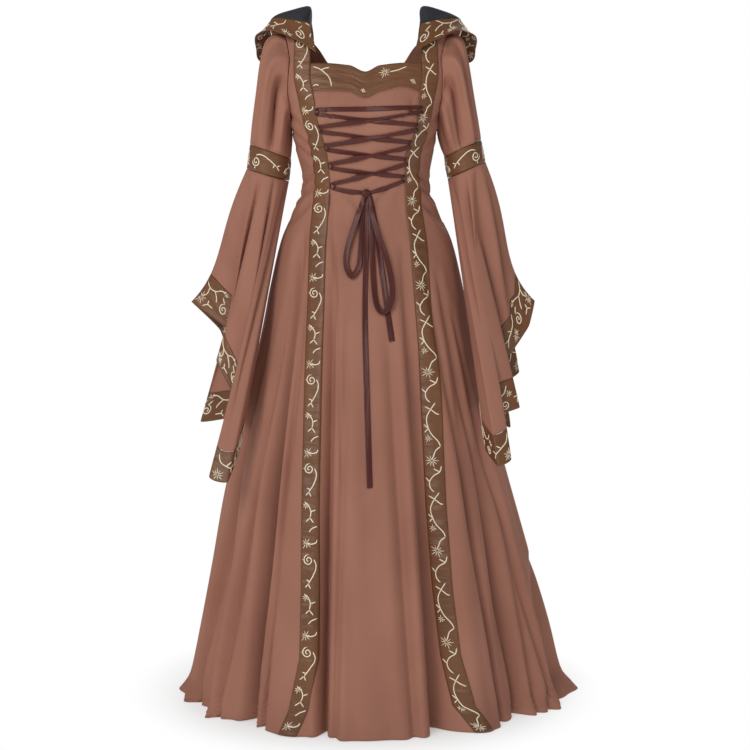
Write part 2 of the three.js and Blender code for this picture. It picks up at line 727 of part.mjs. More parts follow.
function hood() {
  const stations = spread(0, hoodRing.length - 1, 32);
  const settings = { stepU: 0.02, stepV: 0.02, mirrorFrom: (stations.length - 1) / 2 };
  const bagShares = spread(0, hoodEdge - hoodSeam, 7);
  const rimShares = spread(hoodEdge, hoodRim, 2);
  const bag = stations.map((place) => bagShares.map((along) => [place, along]));
  const rim = stations.map((place) => rimShares.map((along) => [place, along]));
  const inner = liningGap / 2;
  const outer = inner + liningWall;
  add('hood_lining', wall(hoodPoint, bag, inner, outer, settings), materials.lining);
  add('hood_shell', wall(hoodPoint, bag, -outer, -inner, settings), materials.gown);
  add('hood_band', cloth(hoodPoint, rim, settings), materials.trim);
}

// Ribbon laced over the front: places are shares along a strand and across its width
function strand(name, from, to, lift) {
  const surface = (along, side) => frontPoint(
    from[0] + (to[0] - from[0]) * along,
    from[1] + (to[1] - from[1]) * along + (0.5 - side) * laceWidth,
  );
  const grid = spread(0, 1, 9).map((along) => [[along, 0], [along, 1]]);
  const settings = { stepU: 0.01, stepV: 0.05 };
  add(name, wall(surface, grid, lift, lift + ribbonWall, settings), materials.ribbon);
}

function lacing() {
  const low = lacePoints.map((point) => clothWall / 2 + point.lift);
  const high = low.map((lift) => lift + ribbonWall + crossingGap);
  const left = lacePoints.map((point) => [point.left, point.leftHeight]);
  const right = lacePoints.map((point) => [point.right, point.rightHeight]);
  const below = ([across, height]) => [across, height - laceWidth - 1];
  const last = left.length - 1;
  strand('lace_bar', left[0], right[0], low[0]);
  for (let row = 0; row < last; row += 1) {
    strand(`lace_right_${row + 1}`, below(left[row]), right[row + 1], low[row]);
    strand(`lace_left_${row + 1}`, left[row + 1], below(right[row]), high[row]);
  }
  const beside = knot.halfWidth + 1;
  const endHeight = knot.height + 2;
  strand('lace_end_left', below(left[last]), [knot.across - beside, endHeight], low[last]);
  strand('lace_end_right', [knot.across + beside, endHeight], below(right[last]), low[last]);
}

function bowKnot() {
  const centre = frontPoint(knot.across, knot.height);
  const geometry = new THREE.SphereGeometry(1, 10, 8);
  geometry.scale(knot.halfWidth, knot.halfDepth, knot.halfHeight);
  geometry.translate(centre.x, centre.y - knot.lift, centre.z);
  add('bow_knot', geometry, materials.ribbon);
}

// Hanging ribbons: each row gives how far across, how far below the knot and the lift off the front
const hangingRibbons = {
  bow_loop_left: [
    { across: -6, drop: 9, lift: 6.5 },
    { across: -18, drop: 48, lift: 9 },
    { across: -36, drop: 104, lift: 10 },
    { across: -40, drop: 140, lift: 9 },
    { across: -29, drop: 163, lift: 7 },
    { across: -15, drop: 146, lift: 5 },
    { across: -10, drop: 104, lift: 4.5 },
    { across: -8, drop: 54, lift: 4 },
    { across: -6, drop: 12, lift: 3.4 },
  ],
  bow_loop_right: [
    { across: 9, drop: 9, lift: 6.5 },
    { across: 19, drop: 66, lift: 12 },
    { across: 42, drop: 134, lift: 14 },
    { across: 52, drop: 190, lift: 13 },
    { across: 47, drop: 222, lift: 11 },
    { across: 33, drop: 234, lift: 8.5 },
    { across: 20, drop: 216, lift: 7 },
    { across: 14, drop: 160, lift: 6 },
    { across: 11, drop: 90, lift: 5 },
    { across: 9, drop: 12, lift: 3.6 },
  ],
  lace_tail_short: [
    { across: 14, drop: 10, lift: 2.4 },
    { across: 24, drop: 100, lift: 2.4 },
    { across: 38, drop: 200, lift: 2.4 },
    { across: 52, drop: 292, lift: 2.4 },
  ],
  lace_tail_long: [
    { across: 2, drop: 9, lift: 2.4 },
    { across: 0, drop: 110, lift: 2.4 },
    { across: -2, drop: 250, lift: 2.4 },
    { across: 2, drop: 400, lift: 2.4 },
    { across: 8, drop: 572, lift: 2.4 },
  ],
};

function hangingRibbon(name) {
  const table = hangingRibbons[name];
  const value = (column, place) => smooth(table.map((row) => row[column]), place);
  const nearby = 0.01;
  const slope = (column, place) => value(column, place + nearby) - value(column, place - nearby);
  const surface = (place, side) => {
    const within = Math.min(Math.max(place, nearby), table.length - 1 - nearby);
    const run = slope('across', within);
    const fall = slope('drop', within);
    const reach = ((side - 0.5) * tailWidth) / Math.hypot(run, fall);
    const across = knot.across + value('across', place) + reach * fall;
    const height = knot.height - value('drop', place) + reach * run;
    const point = frontPoint(across, height);
    point.y -= value('lift', place);
    return point;
  };
  const steps = name.startsWith('bow') ? 4 : 6;
  const places = spread(0, table.length - 1, (table.length - 1) * steps);
  const grid = places.map((place) => [[place, 0], [place, 1]]);
  const settings = { stepU: 0.02, stepV: 0.05 };
  const geometry = wall(surface, grid, -ribbonWall / 2, ribbonWall / 2, settings);
  add(name, geometry, materials.ribbon);
}

frontPanel();
frontYoke();
for (const side of ['left', 'right']) {
  sideFront(side);
  backPanel(side);
  trimBand(side);
  upperSleeve(side);
  armBand(side);
  lowerSleeve(side);
}
hood();
lacing();
bowKnot();
for (const name in hangingRibbons) hangingRibbon(name);

export default gown;
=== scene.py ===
import copy
import math

import bpy
import numpy as np
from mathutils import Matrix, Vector


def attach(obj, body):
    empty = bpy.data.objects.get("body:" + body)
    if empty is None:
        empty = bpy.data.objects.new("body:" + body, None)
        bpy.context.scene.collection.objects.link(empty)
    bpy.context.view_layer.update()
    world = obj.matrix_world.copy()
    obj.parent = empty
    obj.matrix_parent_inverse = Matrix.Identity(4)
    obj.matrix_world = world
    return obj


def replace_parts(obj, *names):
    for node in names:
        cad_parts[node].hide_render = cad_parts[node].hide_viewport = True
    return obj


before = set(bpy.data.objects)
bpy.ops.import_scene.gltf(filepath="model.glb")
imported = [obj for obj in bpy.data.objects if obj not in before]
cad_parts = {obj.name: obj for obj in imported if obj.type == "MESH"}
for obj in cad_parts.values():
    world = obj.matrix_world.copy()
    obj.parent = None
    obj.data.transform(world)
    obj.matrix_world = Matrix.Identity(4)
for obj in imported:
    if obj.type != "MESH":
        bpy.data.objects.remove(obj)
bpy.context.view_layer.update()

bl_info = {
    "name": "Medieval gown",
    "version": (1, 0, 0),
    "blender": (4, 5, 0),
    "location": "View3D > Sidebar > Gown",
    "description": "Sews a hooded gown with a laced front over its solids",
    "category": "Object",
}

# The forms below are worked out in millimetres and made in metres.
MM = 0.001

# The two sides as the camera sees them, and the way that each lies across
SIDES = {"left": -1, "right": 1}

# Level sections of the body: height, reach to the left, right, front and back, and squareness
BODY = np.array([
    (0, 163, 163, 0.5, 0.5, 4), (-3, 164, 164, 20, 20, 4), (-12, 165, 165, 40, 40, 4),
    (-35, 168, 167, 61, 62, 4), (-75, 170, 169, 78, 82, 4), (-120, 167, 164, 98, 96, 3.6),
    (-165, 158, 155, 116, 102, 3), (-208, 151, 146, 121, 98, 2.5),
    (-255, 141, 138, 108, 88, 2.2), (-310, 130, 131, 95, 80, 2.1),
    (-365, 147, 146, 99, 96, 2.1), (-430, 175, 177, 118, 122, 2.1),
    (-520, 197, 200, 148, 150, 2.05), (-640, 221, 224, 184, 182, 2),
    (-780, 251, 257, 224, 218, 2), (-945, 292, 300, 270, 262, 2),
    (-1107, 320, 344, 309, 300, 1.95), (-1231, 343, 378, 338, 328, 1.88),
    (-1327, 363, 402, 359, 352, 1.8), (-1355, 375, 422, 366, 364, 1.77),
    (-1375, 391, 440, 371, 380, 1.75),
])
HEM = -1375
HEM_ROW = len(BODY) - 1

# Princess seams: height, and how far to the left and right of the middle
SEAMS = np.array([
    (0, -113, 113), (-75, -113, 115), (-165, -114, 118), (-212, -100, 109), (-255, -93, 95),
    (-310, -88, 95), (-365, -92, 98), (-430, -97, 107), (-640, -102, 126), (-945, -106, 143),
    (-1107, -106, 156), (-1231, -108, 170), (-1327, -126, 190), (-1375, -146, 222),
])

# Yoke: across, top edge, lower edge
YOKE = np.array([
    (-114, -70, -128), (-88, -70, -126), (-32, -75, -128), (0, -88, -141),
    (30, -75, -128), (75, -70, -118), (116, -69, -130),
])

# Skirt folds: face, start height, across at the start and at the hem, depth and width
FOLDS = [
    ("front", -620, -225, -322, -16, 30), ("front", -420, -128, -242, -34, 30),
    ("front", -700, -205, -290, 12, 30), ("front", -560, -100, -160, 14, 34),
    ("front", -460, -74, -82, -20, 26), ("front", -420, -44, -52, 12, 24),
    ("front", -430, 84, 152, -34, 26), ("front", -600, 150, 226, 16, 36),
    ("front", -560, 176, 322, -26, 34), ("front", -760, 214, 362, 16, 34),
    ("front", -980, 316, 398, -14, 26), ("back", -440, -110, -300, -26, 32),
    ("back", -520, -84, -226, 18, 34), ("back", -420, -52, -138, -32, 30),
    ("back", -560, -26, -62, 16, 32), ("back", -480, 8, 26, -24, 30),
    ("back", -520, 44, 112, 18, 34), ("back", -420, 78, 206, -32, 32),
    ("back", -560, 120, 306, 18, 34), ("back", -500, 150, 366, -20, 30),
]

# Sharp pleats in the skirt: face, start height, across at the start and at the hem, depth,
# width, and the side on which the cloth rolls up beside the crease
PLEATS = [
    ("front", -540, -186, -350, 24, 9, -1), ("front", -400, -126, -240, 34, 9, -1),
    ("front", -520, -152, -288, 22, 8, -1), ("front", -520, -122, -204, 24, 8, -1),
    ("front", -420, -62, -84, 26, 7, -1), ("front", -540, -34, -58, 13, 8, -1),
    ("front", -430, 72, 140, 22, 8, -1), ("front", -620, 50, 96, 10, 9, -1),
    ("front", -460, 116, 272, 21, 8, -1), ("front", -480, 142, 322, 22, 8, 1),
    ("front", -560, 172, 366, 18, 8, 1), ("front", -900, 256, 346, 13, 8, -1),
    ("front", -840, -156, -222, 14, 8, -1), ("back", -440, -100, -282, 24, 9, 1),
    ("back", -500, -70, -176, 20, 9, -1), ("back", -430, -44, -104, 24, 9, 1),
    ("back", -520, -14, -22, 18, 9, -1), ("back", -460, 22, 66, 22, 9, 1),
    ("back", -440, 62, 160, 22, 9, -1), ("back", -500, 98, 252, 22, 9, 1),
    ("back", -560, 150, 336, 20, 9, -1),
]

# Creases pressed into each face by wear: depth, width, then points across and height
CREASES = {
    "front": [
        (-4.3, 6, [(-156, -172), (-134, -196), (-112, -224)]),
        (-3.5, 5, [(-152, -200), (-128, -226), (-106, -248)]),
        (-3.2, 5, [(-146, -230), (-122, -252), (-102, -272)]),
        (-4.1, 6, [(-138, -326), (-118, -306), (-100, -296)]),
        (-4.3, 6, [(-152, -362), (-126, -334), (-100, -316)]),
        (-3.5, 6, [(-164, -404), (-134, -372), (-106, -344)]),
        (-3.8, 6, [(152, -170), (134, -192), (122, -214)]),
        (-3.2, 5, [(148, -206), (128, -228), (112, -244)]),
        (-3.8, 6, [(136, -322), (120, -304), (104, -292)]),
        (-4.1, 6, [(150, -360), (128, -332), (106, -314)]),
        (-3.2, 6, [(166, -410), (140, -376), (112, -350)]),
        (-2.3, 5, [(-70, -178), (0, -184), (86, -176)]),
        (-2.3, 5, [(-64, -214), (-8, -219), (70, -212)]),
        (-2.6, 5, [(-62, -252), (4, -256), (66, -246)]),
        (-2.6, 5, [(-54, -290), (6, -294), (60, -283)]),
        (-2.3, 5, [(-82, -150), (-76, -176), (-60, -190)]),
        (-2.3, 5, [(94, -146), (84, -172), (66, -186)]),
        (-2.9, 7, [(-50, -330), (-24, -346), (-12, -372)]),
        (-2.9, 7, [(58, -318), (30, -344), (16, -374)]),
        (-1.7, 3.4, [(-82, -240), (-62, -474), (-52, -700), (-45, -932)]),
        (-4.9, 14, [(-196, -560), (-214, -800), (-246, -1060), (-270, -1340)]),
        (-4.3, 12, [(-150, -470), (-176, -700), (-190, -980), (-206, -1330)]),
        (3.8, 16, [(-20, -640), (-22, -900), (-10, -1200)]),
        (-4.3, 14, [(44, -560), (56, -820), (70, -1100), (84, -1360)]),
        (-4.1, 12, [(196, -560), (232, -800), (262, -1080), (284, -1350)]),
        (-3.8, 12, [(160, -520), (186, -760), (204, -1040), (222, -1200)]),
    ],
    "back": [
        (-4.1, 6, [(-150, -350), (-118, -324), (-84, -312)]),
        (-4.3, 6, [(-160, -388), (-126, -352), (-88, -336)]),
        (-3.8, 6, [(-140, -236), (-110, -262), (-74, -276)]),
        (-3.8, 6, [(148, -346), (116, -322), (80, -308)]),
        (-4.3, 6, [(160, -392), (124, -356), (86, -338)]),
        (-3.8, 6, [(138, -232), (108, -258), (76, -272)]),
        (-2.6, 8, [(-60, -296), (-6, -302), (56, -294)]),
        (-4.6, 14, [(-150, -520), (-180, -800), (-214, -1340)]),
        (-4.1, 14, [(20, -600), (36, -900), (60, -1350)]),
        (-4.3, 14, [(120, -540), (150, -860), (180, -1350)]),
    ],
}

# The armhole, and the bust's lift: how far it lies across, and its width and height
ARMHOLE = {"middle": -108, "half_height": 98, "half_depth": 62}
BUST = {"across": 68, "height": -188, "lift": 12, "width": 46, "tall": 52}

# Half a trim band's width, its outward reach on the strap, and its margin at the armhole
TRIM_HALF = 19
STRAP_TRIM = 37
EDGE_MARGIN = 3

# Between these heights a trim band widens into the strap
STRAP_FOOT = -175
STRAP_TOP = -90

# Gaps at the seams and at the tip of the shoulder, and the depth of the back's neckline
SEAM_GAP = 0.4
TIP_GAP = 1.2
BACK_NECK = 80

# Flutes at the hem: waves in a turn, where they start, and share of the depth
FLUTES = [(13, 0.8, 0.9), (21, 2.3, 0.8), (34, 1.1, 0.5)]
FLUTE_DEPTH = 4.6
FLUTE_TOP = -560
CALM = {"share": 0.75, "width": 24}

# The bands' lift off the cloth, how far they crown, and how far their stitching puckers them
TRIM_LIFT = {"edge": 1.4, "crown": 0.9, "pucker": 0.8}
PUCKER_SLANT = 2.2
PUCKER_START = {"left": 1, "right": 4}

# How far a fold has widened at its start, and the narrow crease down each hollow one
FOLD_START = 0.6
VALLEY = {"share": 0.3, "width": 0.4}

# The roll of cloth beside a pleat, in shares of the pleat's depth and width
ROLL = {"share": 0.5, "place": 2.4, "width": 1.8}

# Slanting rings of each sleeve: outer end and its height, inner end and its height, depth
RINGS = {
    "left": [
        (186, -7, 154, -209, 64), (205, -24, 154, -212, 65), (216, -66, 154, -217, 64),
        (225, -130, 154, -226, 62), (233, -186, 155, -243, 59), (239, -233, 156, -262, 56),
        (246, -283, 160, -308, 55),
    ],
    "right": [
        (184, -7, 150, -209, 64), (201, -24, 150, -212, 65), (211, -69, 151, -217, 64),
        (221, -130, 153, -226, 62), (230, -180, 158, -243, 58), (238, -223, 163, -258, 54),
        (247, -268, 170, -302, 54),
    ],
}

# Sleeve rows: the arm band lies between this row and the next, and bulges in its middle
BAND_ROW = 6
ROW_GAP = 0.01
BAND_BULGE = 0.9

# Gathers of the upper sleeves: turn round the sleeve, depth and width
SLEEVE_GATHERS = [
    (38, -4, 13), (62, 4, 14), (92, -7, 12), (122, 4, 14), (215, -4, 14), (262, 4, 16),
    (310, -4, 14),
]

# How the gathers are drawn: times their depth and width, with fine ripples between
GATHER = {"depth": 3.2, "width": 0.72, "ripple": 1.6}
GATHER_START = {"left": 0.6, "right": 2.1}
FLARE_RIPPLE = 2.0

# Hanging folds of the lower sleeves: turn round the sleeve, depth and width
FLARE_FOLDS = {
    "left": [(36, -9, 7), (58, 6, 12), (74, -16, 7), (98, 6, 12), (116, -18, 8),
             (142, 6, 10), (160, -12, 7), (215, -12, 10), (268, -11, 11), (305, -10, 9)],
    "right": [(26, -9, 7), (46, 5, 12), (64, -15, 8), (86, 6, 12), (104, -13, 7),
              (126, 5, 10), (150, -13, 8), (212, -12, 10), (262, -12, 11), (300, -9, 9)],
}

# Cuff corners: turn round the sleeve, across, depth, height, and how far the cloth is tucked
CUFFS = {
    "left": np.array([
        (0, 361, -30, -558, 18), (45, 268, -88, -624, 0), (75, 303, -112, -671, 0),
        (105, 260, -146, -757, 0), (140, 309, -217, -890, 0), (165, 272, -228, -900, 0),
        (190, 252, -160, -840, 0), (215, 258, -112, -788, 0), (262, 340, -70, -802, 0),
        (295, 276, -44, -716, 0), (330, 304, -6, -620, 8),
    ], float),
    "right": np.array([
        (0, 349, -30, -556, 22), (20, 336, -56, -606, 16), (48, 302, -86, -652, 6),
        (82, 238, -122, -734, 0), (110, 310, -148, -762, 0), (132, 268, -170, -778, 0),
        (155, 288, -218, -856, 0), (175, 262, -230, -868, 0), (195, 240, -184, -842, 0),
        (218, 234, -120, -776, 0), (258, 296, -86, -812, 0), (290, 286, -62, -728, 0),
        (318, 318, -32, -704, 0), (338, 304, 8, -646, 6),
    ], float),
}
CUFF_WIDTH = 62
FLARE_BOW = 9.48

# Hood stations from the front corner to the middle of the back:
# neck seam, three points through the bag, the trim's inner edge and the rim
HOOD = np.array([
    [(-121, -30, 6), (-122, -30, 9), (-123, -31, 12), (-125, -32, 13), (-128, -34, 9),
     (-114, -76, -54)],
    [(-115, -15, 6), (-118, -14, 22), (-122, -13, 36), (-140, -15, 34), (-160, -20, 20),
     (-150, -60, -24)],
    [(-112, 0, 5), (-116, 2, 28), (-118, 5, 50), (-155, 5, 42), (-192, 4, 25),
     (-188, -38, -2)],
    [(-111, 20, 2), (-114, 24, 24), (-118, 30, 44), (-160, 36, 30), (-200, 40, 8),
     (-226, 8, -8)],
    [(-110, 43, -11), (-114, 58, -4), (-122, 74, 0), (-155, 84, -6), (-194, 86, -18),
     (-230, 54, -32)],
    [(-109, 64, -40), (-112, 90, -66), (-124, 116, -96), (-150, 126, -88), (-180, 118, -66),
     (-218, 90, -60)],
    [(-78, 86, -77), (-76, 114, -156), (-78, 138, -226), (-98, 160, -150), (-112, 160, -96),
     (-136, 150, -58)],
    [(0, 87, -80), (0, 120, -190), (0, 144, -310), (0, 176, -220), (0, 178, -116),
     (0, 174, -77)],
], float)

# Lacing points: left across and height, right across and height, and the strand's lift
LACES = [
    (-93, -166, 110, -161, 1.45), (-86, -200, 99, -196, 1.2), (-76, -236, 87, -230, 0.9),
    (-70, -273, 83, -264, 0.9), (-66, -314, 77, -299, 0.9),
]
KNOT = (1, -334)

# Hanging ribbons: across, drop below the knot, and lift off the front
RIBBONS = {
    "bow_loop_left": [(-3, 3, 6.5), (-18, 48, 9), (-36, 104, 10), (-40, 140, 9),
                      (-29, 163, 7), (-15, 146, 5), (-10, 104, 4.5), (-8, 54, 4), (-4, 6, 3.4)],
    "bow_loop_right": [(5, 3, 6.5), (19, 66, 12), (42, 134, 14), (52, 190, 13),
                       (47, 222, 11), (33, 234, 8.5), (20, 216, 7), (14, 160, 6),
                       (11, 90, 5), (6, 8, 3.6)],
    "lace_tail_short": [(9, 4, 2.4), (24, 100, 2.4), (38, 200, 2.4), (52, 292, 2.4)],
    "lace_tail_long": [(1, 4, 2.4), (0, 110, 2.4), (-2, 250, 2.4), (2, 400, 2.4),
                       (8, 572, 2.4)],
}


# Forms of the cloth

def joined(t, here, leave, after, arrive):
    """A point at share t of the way from one to the next, with the slope at each."""
    return (
        (2 * t ** 3 - 3 * t ** 2 + 1) * here + (t ** 3 - 2 * t ** 2 + t) * leave
        + (3 * t ** 2 - 2 * t ** 3) * after + (t ** 3 - t ** 2) * arrive
    )


def smooth(values, position, slack=0.5):
    """A smooth curve through evenly spaced values, read at places counted in steps."""
    values = np.asarray(values, float)
    position = np.asarray(position, float)
    last = len(values) - 1
    index = np.clip(np.floor(position).astype(int), 0, last - 1)
    t = np.clip(position, 0, last) - index
    if values.ndim > 1:
        t = t[..., None]
    here, after = values[index], values[index + 1]
    leave = slack * (after - values[np.maximum(index - 1, 0)])
    arrive = slack * (values[np.minimum(index + 2, last)] - here)
    return joined(t, here, leave, after, arrive)


def through(lines, place):
    """A smooth curve from line to line, where each point has its own place along it."""
    last = len(lines) - 1
    index = np.clip(np.floor(place).astype(int), 0, last - 1)
    t = (np.clip(place, 0, last) - index)[..., None]

    def pick(number):
        return np.take_along_axis(lines, np.clip(number, 0, last)[None, ..., None], 0)[0]

    here, after = pick(index), pick(index + 1)
    leave = 0.5 * (after - pick(index - 1))
    arrive = 0.5 * (pick(index + 2) - here)
    return joined(t, here, leave, after, arrive)


def unit(vectors):
    """The same directions with a length of one."""
    length = np.linalg.norm(vectors, axis=-1, keepdims=True)
    return vectors / np.maximum(length, 1e-9)


def curve(*points, steps=7):
    """A smooth line through a few points, with this many steps from each to the next."""
    points = np.array(points, float)
    return smooth(points, np.linspace(0, len(points) - 1, steps * (len(points) - 1) + 1))


def bump(distance, width):
    """One at no distance, falling away softly over about this width."""
    return np.exp(-((distance / width) ** 2))


def fade(value, start, end):
    """From 0 at start to 1 at end, easing in and out."""
    t = np.clip((value - start) / (end - start), 0, 1)
    return t * t * (3 - 2 * t)


FINE_ROWS = np.linspace(0, HEM_ROW, 4001)
FINE_HEIGHTS = smooth(BODY[:, 0], FINE_ROWS)


def row_at(height):
    """The row of the body, counted in sections, at a height."""
    return np.interp(-np.asarray(height, float), -FINE_HEIGHTS, FINE_ROWS)


def angle_across(row, across, face="front"):
    """The direction, in degrees from straight ahead, of a point this far across."""
    _, left, right, _, _, corner = np.moveaxis(smooth(BODY, row), -1, 0)
    share = np.minimum(np.abs(across) / np.where(np.asarray(across) < 0, left, right), 1)
    depth = (1 - share ** corner) ** (1 / corner)
    angle = np.degrees(np.arctan2(share, depth)) * np.sign(across)
    if face == "front":
        return angle
    return np.where(np.asarray(across) < 0, -180, 180) - angle


def wrapped(angle):
    """The same turn, between -180 and 180 degrees."""
    return (angle + 540) % 360 - 180


def off_line(row, angle, height, radius, line):
    """How far down a fold's line a point lies, as a share, and how far it is off the line."""
    face, start, begin, end = line
    share = np.clip((height - start) / (HEM - start), 0, None)
    centre = angle_across(row, begin + (end - begin) * share, face)
    return share, np.radians(wrapped(angle - centre)) * radius


def fold_lift(row, angle, height, radius, valleys=None):
    """The skirt's folds; with valleys given, only a narrow crease down each hollow one."""
    lift = np.zeros_like(angle)
    for *line, depth, width in FOLDS:
        if valleys and depth > 0:
            continue
        share, apart = off_line(row, angle, height, radius, line)
        width = width * (FOLD_START + (1 - FOLD_START) * share) * (valleys or 1)
        lift += depth * share ** 0.8 * bump(apart, width)
    return lift


def pleat_lift(row, angle, height, radius):
    """Sharp creases that run down the skirt, each with a roll of cloth along one side."""
    lift = np.zeros_like(angle)
    for *line, depth, width, way in PLEATS:
        share, apart = off_line(row, angle, height, radius, line)
        roll = bump(apart - way * ROLL["place"] * width, ROLL["width"] * width)
        fall = ROLL["share"] * roll - bump(apart, width)
        lift += depth * np.minimum(share, 1) ** 0.6 * fall
    return lift


def flute_lift(angle, height):
    """Small soft flutes that grow towards the hem, and leave the front's middle broad."""
    turn = np.radians(angle)
    grow = fade(height, FLUTE_TOP, HEM) ** 1.3
    calm = 1 - CALM["share"] * bump(angle, CALM["width"])
    waves = sum(share * np.sin(count * turn + start) for count, start, share in FLUTES)
    return FLUTE_DEPTH * waves * grow * calm


def crease_lift(across, height, front):
    """Creases drawn through their points, deepest in the middle, with a soft roll beside."""
    lift = np.zeros_like(across)
    creases = [(face, *crease) for face in CREASES for crease in CREASES[face]]
    for face, depth, width, points in creases:
        line = curve(*points, steps=4)
        nearest = np.full(across.shape, 1e9)
        along = np.zeros(across.shape)
        for index in range(len(line) - 1):
            start, step = line[index], line[index + 1] - line[index]
            over, down = across - start[0], height - start[1]
            share = np.clip((over * step[0] + down * step[1]) / (step @ step), 0, 1)
            gap = np.hypot(over - share * step[0], down - share * step[1])
            closer = gap < nearest
            nearest = np.where(closer, gap, nearest)
            along = np.where(closer, (index + share) / (len(line) - 1), along)
        ends = np.clip(np.sin(np.pi * np.clip(along, 0, 1)), 0, 1) ** 0.6
        soft = 1.5 * bump(nearest, width) - 0.5 * bump(nearest - 1.7 * width, width)
        side = front if face == "front" else ~front
        lift += np.where(side, depth * soft * ends, 0)
    return lift


def body_point(row, angle, detail=True):
    """A point of the body's cloth: row counts down the sections, angle goes round."""
    row, angle = np.broadcast_arrays(np.asarray(row, float), np.asarray(angle, float))
    height, left, right, front, back, corner = np.moveaxis(smooth(BODY, row), -1, 0)
    sine, cosine = np.sin(np.radians(angle)), np.cos(np.radians(angle))
    reach = (np.abs(sine) ** corner + np.abs(cosine) ** corner) ** (-1 / corner)
    across = np.where(sine < 0, left, right) * reach * sine
    depth = -np.where(cosine > 0, front, back) * reach * cosine
    radius = (left + right + front + back) / 4
    lift = fold_lift(row, angle, height, radius)
    cup = np.abs(np.abs(across) - BUST["across"])
    cups = BUST["lift"] * bump(cup, BUST["width"]) * bump(height - BUST["height"], BUST["tall"])
    lift = lift + np.where(np.abs(angle) > 90, 0, cups)
    if detail:
        lift = lift + flute_lift(angle, height)
        lift = lift + crease_lift(across, height, cosine > 0)
        valleys = fold_lift(row, angle, height, radius, VALLEY["width"])
        lift = lift + VALLEY["share"] * valleys
        lift = lift + pleat_lift(row, angle, height, radius)
    return np.stack([across + lift * sine, depth - lift * cosine, height], axis=-1)


def front_point(across, height):
    """The point of the front's cloth that lies this far across and at this height."""
    row = row_at(height)
    return body_point(row, angle_across(row, np.asarray(across, float)))


def degree_length(row, angle):
    """How far one degree reaches along the cloth at this place."""
    step = body_point(row, angle + 0.5, False) - body_point(row, angle - 0.5, False)
    return np.maximum(np.linalg.norm(step, axis=-1), 0.1)


def seam_angle(row, side):
    """The angle at which a princess seam crosses a row of the body."""
    height = smooth(BODY[:, 0], row)
    column = 1 if side == "left" else 2
    return angle_across(row, np.interp(-height, -SEAMS[:, 0], SEAMS[:, column]))


def armhole_angle(row, side, face):
    """The angle at which a panel ends at its side: the armhole's edge or the side seam."""
    height, _, _, front, back, corner = np.moveaxis(smooth(BODY, row), -1, 0)
    reach = front if face == "front" else back
    rise = (height - ARMHOLE["middle"]) / ARMHOLE["half_height"]
    depth = np.where(rise > 0, np.minimum(TIP_GAP, 0.6 * reach), 0)
    round_part = ARMHOLE["half_depth"] * np.sqrt(np.clip(1 - rise * rise, 0, 1))
    depth = np.where(np.abs(rise) < 1, np.maximum(round_part, depth), depth)
    share = np.minimum(depth / reach, 0.97)
    from_front = np.degrees(np.arctan2((1 - share ** corner) ** (1 / corner), share))
    angle = from_front if face == "front" else 180 - from_front
    return angle * SIDES[side]


def trim_angle(row, side, edge):
    """The angle of a trim band's edge, which lies over a princess seam."""
    height = smooth(BODY[:, 0], row)
    strap = fade(height, STRAP_FOOT, STRAP_TOP)
    seam = seam_angle(row, side)
    reach = degree_length(row, seam)
    sign = SIDES[side]
    if edge == "inward":
        return seam - sign * (TRIM_HALF * (1 - strap) + strap) / reach
    outward = (TRIM_HALF * (1 - strap) + STRAP_TRIM * strap) / reach
    limit = np.abs(armhole_angle(row, side, "front")) - EDGE_MARGIN / reach
    return sign * np.minimum(np.abs(seam + sign * outward), limit)


def yoke_height(across, edge):
    """The height of the yoke's top or bottom edge this far across."""
    place = np.interp(across, YOKE[:, 0], np.arange(len(YOKE)))
    return smooth(YOKE[:, 1 if edge == "top" else 2], place, 0.35)


def armhole_point(side, turn):
    """A point of the armhole's edge, where the sleeve is set in."""
    angle = np.radians(turn)
    height = ARMHOLE["middle"] + ARMHOLE["half_height"] * np.cos(angle)
    depth = -ARMHOLE["half_depth"] * np.sin(angle)
    row = row_at(height)
    front = body_point(row, armhole_angle(row, side, "front"), False)[..., 0]
    back = body_point(row, armhole_angle(row, side, "back"), False)[..., 0]
    return np.stack([np.where(depth < 0, front, back), depth, height], axis=-1)


def ring_point(ring, sign, turn):
    """A point of a slanting ring of the sleeve."""
    outer, outer_height, inner, inner_height, depth = ring
    cosine, sine = np.cos(np.radians(turn)), np.sin(np.radians(turn))
    middle, middle_height = (outer + inner) / 2, (outer_height + inner_height) / 2
    return np.stack([
        sign * (middle + (outer - middle) * cosine), -depth * sine,
        middle_height + (outer_height - middle_height) * cosine,
    ], axis=-1)


def gather_lift(turn, along, side):
    """Gathers and fine ripples of a sleeve, which die out at its two seams."""
    lift = np.zeros_like(turn)
    for centre, depth, width in SLEEVE_GATHERS:
        lift += depth * bump(wrapped(turn - centre), GATHER["width"] * width)
    fine = np.sin(np.radians(turn) * 11 + GATHER_START[side])
    fine += 0.7 * np.sin(np.radians(turn) * 19 + along * 1.5)
    shape = np.sin(np.pi * np.clip(along, 0, 1)) ** 0.4
    return (GATHER["depth"] * lift + GATHER["ripple"] * fine) * shape


def sleeve_point(side, row, turn):
    """A point of the sleeve: row counts its rings from the armhole, turn goes round."""
    row, turn = np.broadcast_arrays(np.asarray(row, float), np.asarray(turn, float))
    sign = SIDES[side]
    start = armhole_point(side, turn)
    start = start + np.array([sign * 2, 0, 0])
    rings = [start, *[ring_point(ring, sign, turn) for ring in RINGS[side]]]
    point = through(np.stack(rings), row)
    outer, _, inner, _, _ = RINGS[side][2]
    away = point - np.stack([
        np.full(row.shape, sign * (outer + inner) / 2), np.zeros(row.shape), point[..., 2],
    ], axis=-1)
    return point + unit(away) * gather_lift(turn, row / BAND_ROW, side)[..., None]


